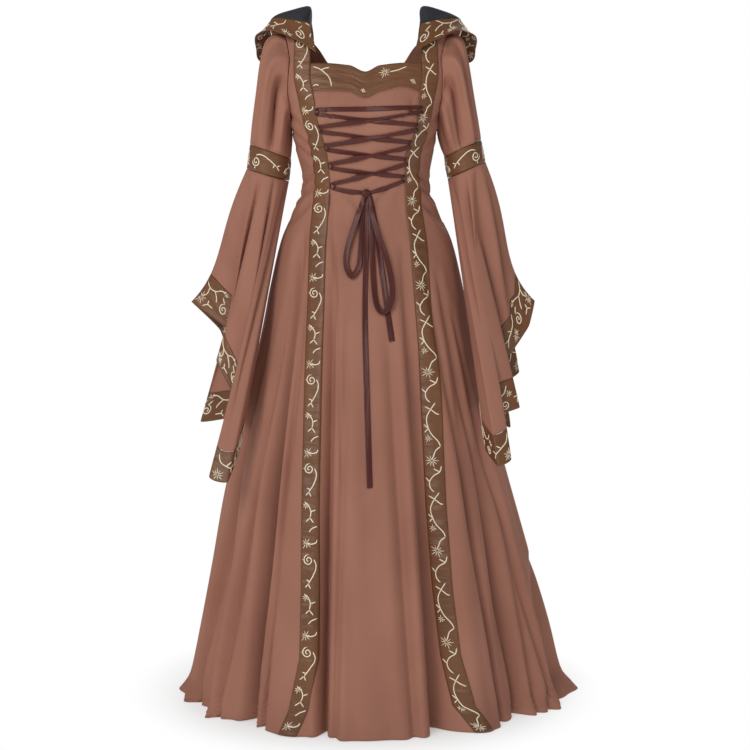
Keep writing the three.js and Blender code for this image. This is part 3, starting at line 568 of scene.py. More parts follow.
def cuff_edge(side, place):
    """The cuff's edge at a place counted in corners round it, with its tuck and turn."""
    corners = CUFFS[side]
    count = len(corners)
    closed = np.concatenate([corners[-1:], corners, corners[:2]])
    closed[0, 0] -= 360
    closed[-2:, 0] += 360
    position = np.mod(place, count) + 1
    values = smooth(closed[:, 1:], position, 0.2)
    turn = smooth(closed[:, 0], position)
    sign = SIDES[side]
    values = values * np.array([sign, 1, 1, sign])
    return values[..., :3], values[..., 3], turn


def flare_point(side, share, place):
    """The lower sleeve: share goes from the arm band to the cuff's edge."""
    share, place = np.broadcast_arrays(np.asarray(share, float), np.asarray(place, float))
    edge, tuck, turn = cuff_edge(side, place)
    start = sleeve_point(side, np.full(share.shape, BAND_ROW + 1.0), turn)
    point = start + (edge - start) * share[..., None]
    point[..., 0] -= tuck * FLARE_BOW * share ** 3 * (1 - share)
    sign = SIDES[side]
    ripple = np.sin(np.radians(turn) * 9 + 0.7) + 0.6 * np.sin(np.radians(turn) * 17 + 2)
    reach = FLARE_RIPPLE * ripple
    for centre, depth, width in FLARE_FOLDS[side]:
        reach = reach + depth * bump(wrapped(turn - centre), width)
    reach = reach * np.sin(np.pi * np.clip(share, 0, 1)) ** 0.8
    point[..., 0] += sign * reach * np.cos(np.radians(turn))
    point[..., 1] -= reach * np.sin(np.radians(turn))
    return point


def cuff_share(side, place):
    """Where the cuff's seam lies along the flare, so that the cuff is as wide all round."""
    start, end = flare_point(side, 0 * place, place), flare_point(side, 1 + 0 * place, place)
    return 1 - CUFF_WIDTH / np.linalg.norm(end - start, axis=-1)


def hood_point(place, along):
    """The hood: place counts the stations round it, along goes from neck seam to rim."""
    place, along = np.broadcast_arrays(np.asarray(place, float), np.asarray(along, float))
    mirrored = HOOD[-2::-1] * np.array([-1, 1, 1])
    ring = np.concatenate([HOOD, mirrored])
    profile = [smooth(ring[:, step], place) for step in range(ring.shape[1])]
    return through(np.stack(profile), along)


# Patches: a grid of points on the cloth, with its normals and its lengths

# A stitched stem: its outline in shares of width and height, and how it thins at its ends
STEM_OUTLINE = [(-0.5, -0.25), (-0.36, 0.6), (0, 1), (0.36, 0.6), (0.5, -0.25)]
TAPER_STEPS = 2.2
THIN_END = 0.25


class Patch:
    """A stretch of cloth: points in rows and columns, in millimetres, and outward normals."""

    def __init__(self, points, closed=False, flip=False):
        self.points = points
        self.closed = closed
        padded = points
        if closed:
            padded = np.concatenate([points[:, -1:], points, points[:, :1]], axis=1)
        normals = unit(np.cross(np.gradient(padded, axis=1), np.gradient(padded, axis=0)))
        if closed:
            normals = normals[:, 1:-1]
        self.normals = -normals if flip else normals
        steps = np.linalg.norm(np.diff(points, axis=0), axis=-1).mean(axis=1)
        self.along = np.concatenate([[0], np.cumsum(steps)])
        widths = np.linalg.norm(np.diff(self.ring(), axis=1), axis=-1).mean(axis=0)
        self.across = np.concatenate([[0], np.cumsum(widths)])

    def ring(self):
        """The points, with the first column again at the end where the cloth is closed."""
        if not self.closed:
            return self.points
        return np.concatenate([self.points, self.points[:, :1]], axis=1)

    def moved(self, distance):
        """The points moved out along the normals, with the same normals and lengths."""
        other = copy.copy(self)
        other.points = self.points + self.normals * distance
        return other

    def turned(self):
        """The other face of the cloth."""
        other = copy.copy(self)
        other.normals = -self.normals
        return other

    def read(self, down, over):
        """Points and normals at lengths down the rows and over the columns."""
        rows, columns = self.points.shape[:2]
        row = np.interp(down, self.along, np.arange(rows))
        if self.closed:
            column = np.interp(np.mod(over, self.across[-1]), self.across,
                               np.arange(columns + 1))
        else:
            column = np.interp(over, self.across, np.arange(columns))
        top = np.clip(np.floor(row).astype(int), 0, rows - 2)
        left = np.floor(column).astype(int)
        if not self.closed:
            left = np.clip(left, 0, columns - 2)
        u, v = (row - top)[..., None], (column - left)[..., None]
        left, right = left % columns, (left + 1) % columns

        def blend(table):
            upper = table[top, left] * (1 - v) + table[top, right] * v
            lower = table[top + 1, left] * (1 - v) + table[top + 1, right] * v
            return upper * (1 - u) + lower * u

        return blend(self.points), unit(blend(self.normals))

    def area(self):
        """The area of the cloth in square metres."""
        ring = self.ring()
        one = np.cross(ring[1:, :-1] - ring[:-1, :-1], ring[:-1, 1:] - ring[:-1, :-1])
        two = np.cross(ring[1:, :-1] - ring[1:, 1:], ring[:-1, 1:] - ring[1:, 1:])
        total = np.linalg.norm(one, axis=-1).sum() + np.linalg.norm(two, axis=-1).sum()
        return total / 2 * MM * MM


def new_piece(name, vertices, faces, material, uvs):
    """A mesh piece in metres that rides on the gown, with its cloth's lengths as its UV map."""
    mesh = bpy.data.meshes.new(name)
    mesh.from_pydata((np.asarray(vertices) * MM).tolist(), [], faces)
    mesh.materials.append(material)
    layer = mesh.uv_layers.new(name="cloth")
    if len(uvs) != len(mesh.loops):
        corners = np.zeros(len(mesh.loops), int)
        mesh.loops.foreach_get("vertex_index", corners)
        uvs = np.asarray(uvs)[corners]
    layer.data.foreach_set("uv", (uvs * MM).ravel())
    mesh.polygons.foreach_set("use_smooth", [True] * len(mesh.polygons))
    mesh.update()
    piece = bpy.data.objects.new(name, mesh)
    bpy.context.scene.collection.objects.link(piece)
    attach(piece, "root")
    return piece


def grid_faces(rows, columns, closed, start=0, flip=False):
    """The quads between rows and columns of points, counted from a starting number."""
    row, column = np.meshgrid(np.arange(rows - 1),
                              np.arange(columns if closed else columns - 1), indexing="ij")
    right = (column + 1) % columns
    quads = np.stack([row * columns + column, row * columns + right,
                      (row + 1) * columns + right, (row + 1) * columns + column], axis=-1)
    quads = quads.reshape(-1, 4) + start
    return quads[:, ::-1] if flip else quads


def capped_faces(rows, columns, start=0, flip=False):
    """The faces of a closed tube whose two ends have a face of their own."""
    faces = grid_faces(rows, columns, True, start, flip).tolist()
    first = list(range(start, start + columns))
    last = [number + (rows - 1) * columns for number in first]
    faces.append(first if flip else first[::-1])
    faces.append(last[::-1] if flip else last)
    return faces


def made_so_far(pieces):
    """How many points a list of mesh parts holds."""
    return sum(len(part[0]) for part in pieces)


def shell(name, patch, thickness, material):
    """Thin cloth with two faces and finished edges, made on both sides of a patch."""
    rows, columns = patch.points.shape[:2]
    count = rows * columns
    outer = patch.points + patch.normals * thickness / 2
    inner = patch.points - patch.normals * thickness / 2
    vertices = np.concatenate([outer.reshape(-1, 3), inner.reshape(-1, 3)])
    across, along = np.meshgrid(patch.across[:columns], patch.along)
    uvs = np.stack([across.ravel(), -along.ravel()], axis=-1)
    uvs = np.concatenate([uvs, uvs])
    middle = (rows // 2, columns // 3)
    row_vector = patch.points[middle[0] + 1, middle[1]] - patch.points[middle]
    column_vector = patch.points[middle[0], middle[1] + 1] - patch.points[middle]
    outward = np.cross(column_vector, row_vector) @ patch.normals[middle] > 0
    faces = [grid_faces(rows, columns, patch.closed, 0, not outward),
             grid_faces(rows, columns, patch.closed, count, outward)]
    lines = [np.arange(columns), np.arange(columns)[::-1] + (rows - 1) * columns]
    if patch.closed:
        lines = [np.append(line, line[0]) for line in lines]
    else:
        lines += [np.arange(rows)[::-1] * columns, np.arange(rows) * columns + columns - 1]
    rim = np.concatenate([
        np.stack([line[:-1], line[1:], line[1:] + count, line[:-1] + count], -1)
        for line in lines
    ])
    faces.append(rim[:, ::-1] if outward else rim)
    faces = np.concatenate(faces)
    corners = uvs[faces]
    if patch.closed:
        low = corners[..., 0] < corners[..., 0].max(axis=1, keepdims=True) - patch.across[-1] / 2
        corners[..., 0] += low * patch.across[-1]
    return new_piece(name, vertices, faces.tolist(), material, corners.reshape(-1, 2))


def cord_strip(patch, down, over, width, height, pieces):
    """Adds a raised domed thread along a line on a patch to a list of mesh parts."""
    points, normals = patch.read(np.asarray(down, float), np.asarray(over, float))
    side = unit(np.cross(unit(np.gradient(points, axis=0)), normals))
    count = len(points)
    share = np.linspace(0, 1, count)
    thin = np.clip(np.minimum(share, 1 - share) * count / TAPER_STEPS, THIN_END, 1)
    thin = thin[:, None, None]
    ring = np.array(STEM_OUTLINE)
    vertices = (
        points[:, None] + side[:, None] * (ring[:, 0] * width)[None, :, None] * thin
        + normals[:, None] * (ring[:, 1] * height)[None, :, None] * thin
    )
    quads = capped_faces(count, len(ring), made_so_far(pieces))
    distance = np.concatenate([[0], np.cumsum(np.linalg.norm(np.diff(points, axis=0), axis=1))])
    uvs = np.stack(np.broadcast_arrays(ring[None, :, 0] * width, distance[:, None]), axis=-1)
    pieces.append((vertices.reshape(-1, 3), quads, uvs.reshape(-1, 2)))


def join_strips(name, pieces, material):
    """One mesh piece made of a list of mesh parts."""
    vertices = np.concatenate([part[0] for part in pieces])
    uvs = np.concatenate([part[2] for part in pieces])
    faces = [face for part in pieces for face in part[1]]
    return new_piece(name, vertices, faces, material, uvs)


# Motifs: flowers and vines in stitched lines, in millimetres on a band

# The length of a repeat, and one longer than the yoke, whose motif is stitched once
MOTIF_LENGTH = 178
ONCE = 900

# How far stitches keep from a band's sides and ends, and how high they stand
SIDE_MARGIN = 2.2
END_MARGIN = 2
STEM_HEIGHT = 0.9


def spiral(centre, size, start, turns, way=1):
    """A tendril that winds in from its open end."""
    t = np.linspace(0, 1, 30)
    angle = np.radians(start) + way * t * turns * 2 * np.pi
    reach = size * (1 - 0.82 * t)
    return np.stack([centre[0] + reach * np.sin(angle), centre[1] + reach * np.cos(angle)], -1)


def flower(centre, size, turn=0, petals=9, spread=360):
    """A starburst of short stitches."""
    lines = []
    for number in range(petals):
        angle = np.radians(turn + spread * number / petals)
        long = size * (1 if number % 2 else 0.78)
        way = np.array([np.sin(angle), np.cos(angle)])
        lines.append(np.array(centre) + np.linspace(0.12, 1, 4)[:, None] * way * long)
    return lines


def vine_side():
    """One repeat of the left trim: an arc with a flower, a tendril and a forked twig."""
    lines = [
        curve((6, -14), (12, -12), (15, -2), (13, 9)),
        spiral((46, 3), 11, -95, 1.55),
        curve((46, 14), (44, 19)),
        curve((44, -8), (54, -12), (66, -11), (76, -6)),
        curve((74, -8), (84, -2), (92, 3)),
        curve((92, 3), (99, 10)), curve((92, 3), (101, -2)), curve((87, 0), (84, 8)),
        curve((112, 12), (118, 4), (130, -2), (142, 0)),
        curve((130, -2), (126, -12)), curve((142, 0), (150, 9)), curve((142, 0), (152, -8)),
        curve((158, -15), (163, -4), (170, 2)),
    ]
    return lines + flower((14, 8), 12, 10, 8) + flower((118, 9), 8, 30, 7)


def vine_long():
    """One repeat of the right trim: a long wavy stem with forks and starbursts."""
    lines = [
        curve((0, -8), (14, 2), (30, 10), (48, 9), (64, 2), (78, -10), (88, -14)),
        curve((14, 2), (8, 13)), curve((14, 2), (22, -8), (24, -14)),
        curve((52, 8), (44, 16)), curve((52, 8), (60, 15)),
        curve((88, -14), (96, -4), (106, 0), (114, 4)),
        curve((126, -14), (138, -10), (146, 2), (158, 10), (170, 9), (178, 2)),
        curve((138, -10), (132, 2)), curve((158, 10), (150, 17)),
    ]
    return lines + flower((116, 4), 14, 0, 10) + flower((72, 9), 8, 15, 7)


def vine_loose():
    """One repeat for wide bands: winding stems, tendrils, twigs and starbursts."""
    lines = [
        curve((0, -20), (16, -10), (34, -12), (50, -22), (64, -26)),
        curve((16, -10), (18, 2), (12, 10)), curve((34, -12), (44, -4), (48, 4)),
        spiral((70, 6), 11, 180, 1.5), curve((70, -5), (60, -14)),
        curve((92, -24), (98, -10), (112, -2), (124, 6), (130, 20)),
        curve((112, -2), (122, -10)), curve((124, 6), (136, 6)),
        curve((24, 26), (32, 18), (46, 18)), curve((32, 18), (30, 10)),
        curve((146, -22), (154, -8), (168, -4), (178, -20)),
        spiral((158, 16), 9, 40, 1.4, -1),
    ]
    return (lines + flower((10, 15), 13, 0, 10) + flower((66, -24), 8, 20, 7)
            + flower((98, 17), 13, 12, 10) + flower((144, -4), 8, 0, 7))


def embroider(name, patch, motif, material, width, repeat=MOTIF_LENGTH, start=0,
              along_rows=True, lean=1):
    """Stitches a motif again and again along a patch, clipped to its edges."""
    long = patch.along if along_rows else patch.across
    wide = patch.across if along_rows else patch.along
    middle = wide[-1] / 2
    pieces = []
    for place in np.arange(start, long[-1], repeat):
        for line in motif():
            down, over = line[:, 0] + place, middle + line[:, 1] * lean
            inside = (np.abs(over - middle) < middle - SIDE_MARGIN) & (down > END_MARGIN)
            inside &= down < long[-1] - END_MARGIN
            for run in np.split(np.arange(len(line)), np.where(np.diff(inside))[0] + 1):
                if len(run) < 3 or not inside[run[0]]:
                    continue
                first, second = (down, over) if along_rows else (over, down)
                cord_strip(patch, first[run], second[run], width, STEM_HEIGHT, pieces)
    return join_strips(name, pieces, material)


def yoke_motif():
    """The yoke's own stitches: a branch at the left, starbursts at the right and the dip."""
    lines = [
        curve((6, -22), (23, -14), (40, 2), (46, 22)), curve((23, -14), (31, -18), (40, -20)),
        curve((170, -10), (188, -12), (206, -20)), curve((8, 19), (14, 17), (20, 19)),
    ]
    return (lines + flower((160, -11), 13, 10, 10) + flower((217, 12), 7, 0, 7)
            + flower((112, 15), 6, 20, 7))


# Finishes of the cloths

# Roughness, sheen, grain, wrinkle, gloss and the scale of the stripes. Grain and wrinkle are
# how fine they are across and down the cloth, as scales of a noise, and depth in metres.
FINISHES = {
    "crepe": (0.82, 0.22, (900, 900, 0.00025), (26, 9, 0.0016), 0.3, 0),
    "brocade": (0.42, 0.0, (1100, 500, 0.0002), (12, 60, 0.0042), 0.36, 0),
    "lining": (0.75, 0.2, (800, 800, 0.0002), (30, 14, 0.0016), 0.3, 0),
    "ribbon": (0.36, 0.0, (1500, 300, 0.00012), (120, 16, 0.0012), 0.22, 0),
    "thread": (0.5, 0.2, (700, 900, 0.0002), (60, 60, 0.0003), 0.45, 110),
}

# Broad clouds of the second tone, and fine flecks that are a little darker
CLOUDS = (9, 5, 3)
FLECK_SHADE = 0.86
FLECK_SHARE = 0.3
SHEEN_BRIGHTER = 1.6
STRIPE_DEPTH = 0.0003


def fill(tree, made, sockets):
    """Sets a node's sockets, or links them where another node's output is given."""
    for name, value in sockets.items():
        if isinstance(value, bpy.types.NodeSocket):
            tree.links.new(value, made.inputs[name])
        else:
            made.inputs[name].default_value = value
    return made


def node(tree, kind, sockets):
    """A new shader node with its sockets set."""
    return fill(tree, tree.nodes.new(f"ShaderNode{kind}"), sockets)


def finish_of(name, colour, shade, roughness, sheen, grain, wrinkle, specular, stripes):
    """A cloth finish read from the piece's own lengths: tone, fine grain and soft wrinkles."""
    material = bpy.data.materials.new(name)
    material.use_nodes = True
    tree = material.node_tree
    lengths = node(tree, "UVMap", {})
    lengths.uv_map = "cloth"

    def noise(across, down, detail=2):
        place = node(tree, "Mapping", {
            "Vector": lengths.outputs["UV"], "Scale": (across, down, 1),
        })
        return node(tree, "TexNoise", {
            "Vector": place.outputs["Vector"], "Scale": 1, "Detail": detail,
        }).outputs["Fac"]

    def mixed(low, high, factor):
        mix = node(tree, "Mix", {})
        mix.data_type = "RGBA"
        return fill(tree, mix, {0: factor, 6: low, 7: high}).outputs[2]

    def spread(factor, low, high):
        return node(tree, "MapRange", {
            "Value": factor, "From Min": low, "From Max": high,
        }).outputs["Result"]

    def relief(height, depth, **under):
        return node(tree, "Bump", {
            "Height": height, "Distance": depth, "Strength": 1, **under,
        }).outputs["Normal"]

    tone = mixed(shade, colour, spread(noise(*CLOUDS), 0.3, 0.6))
    fleck = [FLECK_SHADE * value for value in colour[:3]] + [1]
    fine = spread(noise(grain[0], grain[1]), 0.35, 0.7)
    normal = relief(noise(wrinkle[0], wrinkle[1]), wrinkle[2])
    normal = relief(noise(grain[0], grain[1]), grain[2], Normal=normal)
    if stripes:
        wave = node(tree, "TexWave", {"Vector": lengths.outputs["UV"], "Scale": stripes})
        wave.bands_direction = "Y"
        normal = relief(wave.outputs["Fac"], STRIPE_DEPTH, Normal=normal)
    fill(tree, tree.nodes["Principled BSDF"], {
        "Base Color": mixed(tone, mixed(fleck, colour, fine), FLECK_SHARE),
        "Roughness": roughness,
        "Sheen Weight": sheen,
        "Sheen Roughness": 0.45,
        "Sheen Tint": (*[min(1, SHEEN_BRIGHTER * value) for value in colour[:3]], 1),
        "Specular IOR Level": specular,
        "Normal": normal,
    })
    return material


def finish(context, key):
    """The finish of a kind of cloth, made once from the panel's colours."""
    made = bpy.data.materials.get(f"gown_{key}")
    if made:
        return made
    colours = context.scene.gown_colours
    colour, shade = list(getattr(colours, key)), list(getattr(colours, f"{key}_shade"))
    return finish_of(f"gown_{key}", colour, shade, *FINISHES[key])


# Panels of the body

# Rows and columns of the panels, and the spacing of rows in the bodice and on the bands
FRONT_GRID = (188, 100)
YOKE_GRID = (20, 90)
SIDE_COLUMNS = 90
BACK_COLUMNS = 100
BAND_COLUMNS = 15
PANEL_SPACING = 6
BAND_SPACING = 4
SKIRT_SPACING = 1.5
BODICE_TOP = -34
WAIST = -480

# The height at which the yoke's columns are placed across the front
YOKE_LEVEL = -110.0

# The back's neckline rises to the strap at this share of the panel, and from this height
# down its rows are level
NECK_FLAT = 0.62
NECK_JOIN = -165.0

UPPER_HEIGHTS = [0, -0.6, -1.4, -2.4, -3.6, -5, -7, -9.5, -12, -15, -18, -21.5, -25, -29]


def level_lines(spacing):
    """Heights of the rows of a panel, closest over the shoulder and widest in the skirt."""
    count = int((BODICE_TOP - WAIST) / spacing)
    bodice = np.linspace(BODICE_TOP, WAIST, count, endpoint=False)
    skirt = np.linspace(WAIST, HEM, int((WAIST - HEM) / (SKIRT_SPACING * spacing)))
    return np.concatenate([UPPER_HEIGHTS, bodice, skirt])


def between(start, end, shares):
    return start[..., None] + (end - start)[..., None] * shares


def front_patch():
    rows, columns = FRONT_GRID
    shares = np.linspace(0, 1, columns)
    top = panel_tops(shares, "bottom") - SEAM_GAP
    return front_grid(top + (HEM - top) * np.linspace(0, 1, rows)[:, None], shares)


def panel_tops(shares, edge):
    """Heights of the yoke's top or bottom edge, from one princess seam to the other."""
    row = row_at(YOKE_LEVEL)
    angle = seam_angle(row, "left") * (1 - shares) + seam_angle(row, "right") * shares
    return yoke_height(body_point(row, angle, False)[..., 0], edge)


def front_grid(height, shares):
    row = row_at(height)
    left, right = seam_angle(row, "left"), seam_angle(row, "right")
    gap = SEAM_GAP / degree_length(row, left)
    angle = left + gap + (right - left - 2 * gap) * shares
    return Patch(body_point(row, angle), flip=True)


def yoke_patch():
    rows, columns = YOKE_GRID
    shares = np.linspace(0, 1, columns)
    top, bottom = panel_tops(shares, "top"), panel_tops(shares, "bottom")
    return front_grid(top + (bottom - top) * np.linspace(0, 1, rows)[:, None], shares)


def side_patch(side):
    row = row_at(level_lines(PANEL_SPACING))
    seam = seam_angle(row, side)
    sign = SIDES[side]
    start = seam + sign * SEAM_GAP / degree_length(row, seam)
    shares = np.linspace(0, 1, SIDE_COLUMNS)
    angle = between(start, armhole_angle(row, side, "front"), shares)
    return Patch(body_point(row[:, None], angle), flip=side == "right")


def back_patch(side):
    shares = np.linspace(0, 1, BACK_COLUMNS)
    top = -BACK_NECK * (1 - np.clip(shares / NECK_FLAT, 0, 1) ** 6)
    base = level_lines(PANEL_SPACING)[:, None]
    lowered = top + (NECK_JOIN - top) * base / NECK_JOIN
    height = np.where(base > NECK_JOIN, lowered, base)
    row = row_at(height)
    sign = SIDES[side]
    middle = sign * (180 - SEAM_GAP / degree_length(row, np.full(row.shape, 179.0)))
    angle = middle + (armhole_angle(row, side, "back") - middle) * shares
    return Patch(body_point(row, angle), flip=side == "left")


def trim_patch(side):
    """The brocade band over a princess seam, puckered across by its stitching."""
    heights = level_lines(BAND_SPACING)
    row = row_at(heights)
    inward, outward = trim_angle(row, side, "inward"), trim_angle(row, side, "outward")
    shares = np.linspace(0, 1, BAND_COLUMNS)
    angle = between(inward, outward, shares)
    patch = Patch(body_point(row[:, None], angle), flip=side == "right")
    slow = 0.5 + 0.5 * np.sin(heights / 47 + PUCKER_START[side])
    shift = shares[None, :] * PUCKER_SLANT
    ripple = np.sin(heights[:, None] / 3.4 + shift) + np.sin(heights[:, None] / 5.7 - shift)
    below = fade(heights, -120, -220)[:, None]
    edges = np.sin(np.pi * shares) ** 0.35
    pucker = TRIM_LIFT["pucker"] * ripple * slow[:, None] * below * edges
    lift = TRIM_LIFT["edge"] + TRIM_LIFT["crown"] * edges + pucker
    patch.points = patch.points + patch.normals * lift[..., None]
    return Patch(patch.points, flip=side == "right")


# Sleeves, cuffs and hood

# Columns round a sleeve or the hood, steps from a cuff corner to the next, and rows
AROUND = 168
CORNER_STEPS = 16
FLARE_ROWS = {"flare": 74, "cuff": 17}

# The hood: its rim starts at this step of the profile, and how its cloth slumps
RIM_STEP = 4
HOOD_SEAM = 0.03
SLUMP = 1.2

# The hood's front corners lie over the straps: reach, shift along each axis, and inward
CORNER = {"reach": 1.1, "shift": (0, -7, 4), "inward": 15}

def sleeve_patch(side, start, end, rows, bulge=0.0):
    """A stretch of the sleeve, all round, from one ring to another."""
    turns = np.arange(AROUND) * 360 / AROUND
    places = np.linspace(start, end, rows)
    points = sleeve_point(side, places[:, None], turns[None, :])
    patch = Patch(points, closed=True, flip=side == "left")
    round_it = np.sin(np.pi * np.linspace(0, 1, rows)) ** 0.5
    patch.points = patch.points + patch.normals * (bulge * round_it)[:, None, None]
    return patch


def flare_patch(side, part):
    """The lower sleeve down to its cuff, or the cuff itself."""
    count = len(CUFFS[side])
    places = np.arange(count * CORNER_STEPS) / CORNER_STEPS
    edge = cuff_share(side, places)
    steps = np.linspace(0, 1, FLARE_ROWS[part])[:, None]
    if part == "flare":
        share = 0.003 + (edge - 0.004) * steps
    else:
        share = edge + (1 - edge) * steps
    return Patch(flare_point(side, share, places[None, :]), closed=True, flip=side == "left")


def hood_patch(start, end, columns):
    """A stretch of the hood's profile, from one strap round the back to the other."""
    places = np.linspace(0, 2 * (len(HOOD) - 1), AROUND)
    along = np.linspace(start, end, columns)
    points = hood_point(places[:, None], along[None, :])
    slump = np.sin(places * 2.3 + 0.6)[:, None] * np.sin(along * 2.4 + places[:, None])
    patch = Patch(points, flip=True)
    slump = SLUMP * slump * fade(along, 0.2, 1.5)
    patch.points = points + patch.normals * slump[..., None]
    corners = bump(places, CORNER["reach"]) + bump(places - places[-1], CORNER["reach"])
    over_strap = corners[:, None] * fade(along, 3.4, 4.1)
    inward = -CORNER["inward"] * np.sign(points[..., 0]) * over_strap
    patch.points = patch.points + over_strap[..., None] * np.array(CORNER["shift"])
    patch.points[..., 0] += inward
    return patch


# Ribbons and small sewn things

# Flat ribbon: steps along each kind, and points across it
STRAND_STEPS = 40
TAIL_STEPS = 90
LOOP_STEPS = 110
RIBBON_ACROSS = 9

# A laced strand: its sag, its width at the ends as a share, how far below its neighbour it
# starts, how far the upper of two crossing strands lifts, and where the last ends meet the knot
SAG = 1.6
STRAND_NARROW = 0.68
CROSS_DROP = 9
CROSS_LIFT = 1.7
KNOT_ENDS = (8, 2)

# A hanging ribbon: how it narrows towards the knot, twists and cups
PINCH = {"share": 0.55, "reach": 0.12}
CURL = 1.1
CUP = 0.7

# The bow's knot: half its width, depth and height, and how far it stands off the front
KNOT_HALF = (9.6, 5.2, 8.8)
KNOT_FORWARD = 5.8
KNOT_GRID = (25, 36)

# Seam and hem stitches: pitch, the share of it that shows, width and height, the place of
# the first one, and how far the rows lie from the cloth's edges
STITCH_PITCH = 7.0
STITCH_SHARE = 0.62
STITCH_SIZE = (0.9, 0.45)
FIRST_STITCH = 4.0
HEM_INSET = 14
SEAM_INSET = 2.5

# Threads of the lacing loops: half their width, height and depth, and how they stand
LOOP = {"wide": 4.2, "tall": 7, "deep": 1.2, "inward": 1, "below": 4.5, "off": 2.6}
LOOP_RADIUS = 0.95
THREAD_SIDES = 8
THREAD_STEP = 10.0
ASLANT = np.array([0.3, 0.2, 0.93])


def ribbon_patch(start, end, lift, width):
    """A laced strand over the front, gathered narrow where it is threaded at its ends."""
    along = np.linspace(0, 1, STRAND_STEPS)[:, None]
    side = np.linspace(0.5, -0.5, RIBBON_ACROSS)[None, :]
    open_out = np.clip(np.sin(np.pi * along), 0, 1) ** 0.5
    narrow = STRAND_NARROW + (1 - STRAND_NARROW) * open_out
    across = start[0] + (end[0] - start[0]) * along + 0 * side
    height = start[1] + (end[1] - start[1]) * along - SAG * np.sin(np.pi * along)
    height = height + side * width * narrow
    patch = Patch(front_point(across, height))
    roll = 0.5 * np.cos(np.pi * side) - 0.9 * side * np.cos(2 * np.pi * along)
    return Patch(patch.points + patch.normals * (lift + 0.45 + 0.5 * roll)[..., None])


def ribbon_ends():
    """Each strand of the lacing: name, start, end, lift."""
    def below(point):
        return (point[0], point[1] - CROSS_DROP)

    left = [(row[0], row[1]) for row in LACES]
    right = [(row[2], row[3]) for row in LACES]
    low = [0.6 + row[4] for row in LACES]
    strands = [("lace_bar", left[0], right[0], low[0])]
    for row in range(len(LACES) - 1):
        strands.append((f"lace_right_{row + 1}", below(left[row]), right[row + 1], low[row]))
        strands.append((f"lace_left_{row + 1}", left[row + 1], below(right[row]),
                        low[row] + CROSS_LIFT))
    apart, rise = KNOT_ENDS
    ends = [(KNOT[0] + way * apart, KNOT[1] + rise) for way in (-1, 1)]
    strands.append(("lace_end_left", below(left[-1]), ends[0], low[-1]))
    strands.append(("lace_end_right", ends[1], below(right[-1]), low[-1]))
    return strands


def hanging_line(name, steps):
    table = np.array(RIBBONS[name], float)
    places = np.linspace(0, len(table) - 1, steps)
    return places, smooth(table, places)


def hanging_point(across, drop, lift):
    point = front_point(KNOT[0] + across, KNOT[1] - drop)
    point[..., 1] -= lift
    return point


def hanging_patch(name, width, steps):
    """A hanging ribbon: it curls across its width and turns a little as it falls."""
    places, line = hanging_line(name, steps)
    side = np.linspace(-0.5, 0.5, RIBBON_ACROSS)
    share = np.linspace(0, 1, steps)[:, None]
    least = PINCH["share"]
    pinch = least + (1 - least) * fade(share, 0, PINCH["reach"])
    if name.startswith("bow"):
        pinch = pinch * (least + (1 - least) * fade(1 - share, 0, PINCH["reach"]))
    flow = unit(np.gradient(line[:, :2], axis=0))
    over = side * width * pinch
    points = hanging_point(line[:, :1] + over * flow[:, 1:], line[:, 1:2] - over * flow[:, :1],
                           line[:, 2:] + 0 * side)
    turn = CURL * np.sin(share * 9 + len(name)) * side * 2
    cup = CUP * np.cos(np.pi * side)[None, :] * np.cos(share * 5 + 1)
    points[..., 1] -= turn + cup
    return Patch(points, flip=True)


def tube(points, radius, pieces):
    """Adds a round thread along a line of points in space to a list of mesh parts."""
    points = np.asarray(points, float)
    along = unit(np.gradient(points, axis=0))
    guide = unit(np.cross(along, ASLANT))
    other = np.cross(along, guide)
    turn = 2 * np.pi * np.arange(THREAD_SIDES) / THREAD_SIDES
    ring = guide[:, None] * np.cos(turn)[None, :, None]
    ring = ring + other[:, None] * np.sin(turn)[None, :, None]
    vertices = (points[:, None] + ring * radius).reshape(-1, 3)
    quads = capped_faces(len(points), THREAD_SIDES, made_so_far(pieces))
    places = THREAD_STEP * np.arange(len(points))[:, None]
    uvs = np.stack(np.broadcast_arrays(turn[None, :] * radius, places), axis=-1)
    pieces.append((vertices, quads, uvs.reshape(-1, 2)))


def lacing_loops(material):
    """Small loops of thread beside the trims, which the ribbon is threaded through."""
    pieces = []
    for left, left_height, right, right_height, lift in LACES:
        for across, height, way in ((left, left_height, 1), (right, right_height, -1)):
            turn = np.linspace(0, 2 * np.pi, 21)
            over = way * (LOOP["wide"] * np.cos(turn) - LOOP["inward"])
            line = front_point(across + over, height - LOOP["below"] + LOOP["tall"] * np.sin(turn))
            line[:, 1] -= lift + LOOP["off"] + LOOP["deep"] * np.cos(turn)
            tube(line, LOOP_RADIUS, pieces)
    return join_strips("lacing_loops", pieces, material)


def knot_piece(material):
    """The bow's knot: ribbon wound over itself, with the turns showing as ridges."""
    centre = front_point(float(KNOT[0]), float(KNOT[1]))
    rows, columns = KNOT_GRID
    wide, deep, tall = KNOT_HALF
    down = np.linspace(0.04, np.pi - 0.04, rows)[:, None]
    turn = np.linspace(0, 2 * np.pi, columns, endpoint=False)[None, :]
    ridge = 1 + 0.1 * np.sin(2 * turn + 3.4 * np.cos(down)) + 0.05 * np.sin(7 * down)
    points = np.stack([
        wide * ridge * np.sin(down) * np.cos(turn), deep * ridge * np.sin(down) * np.sin(turn),
        tall * np.cos(down) * (1 + 0.1 * np.cos(3 * turn)),
    ], axis=-1)
    points = points + centre + np.array([0, -KNOT_FORWARD, 0])
    faces = capped_faces(rows, columns, flip=True)
    uvs = np.stack(np.broadcast_arrays(turn * 6, down * 6), axis=-1).reshape(-1, 2)
    return new_piece("ribbon_knot", points.reshape(-1, 3), faces, material, uvs)


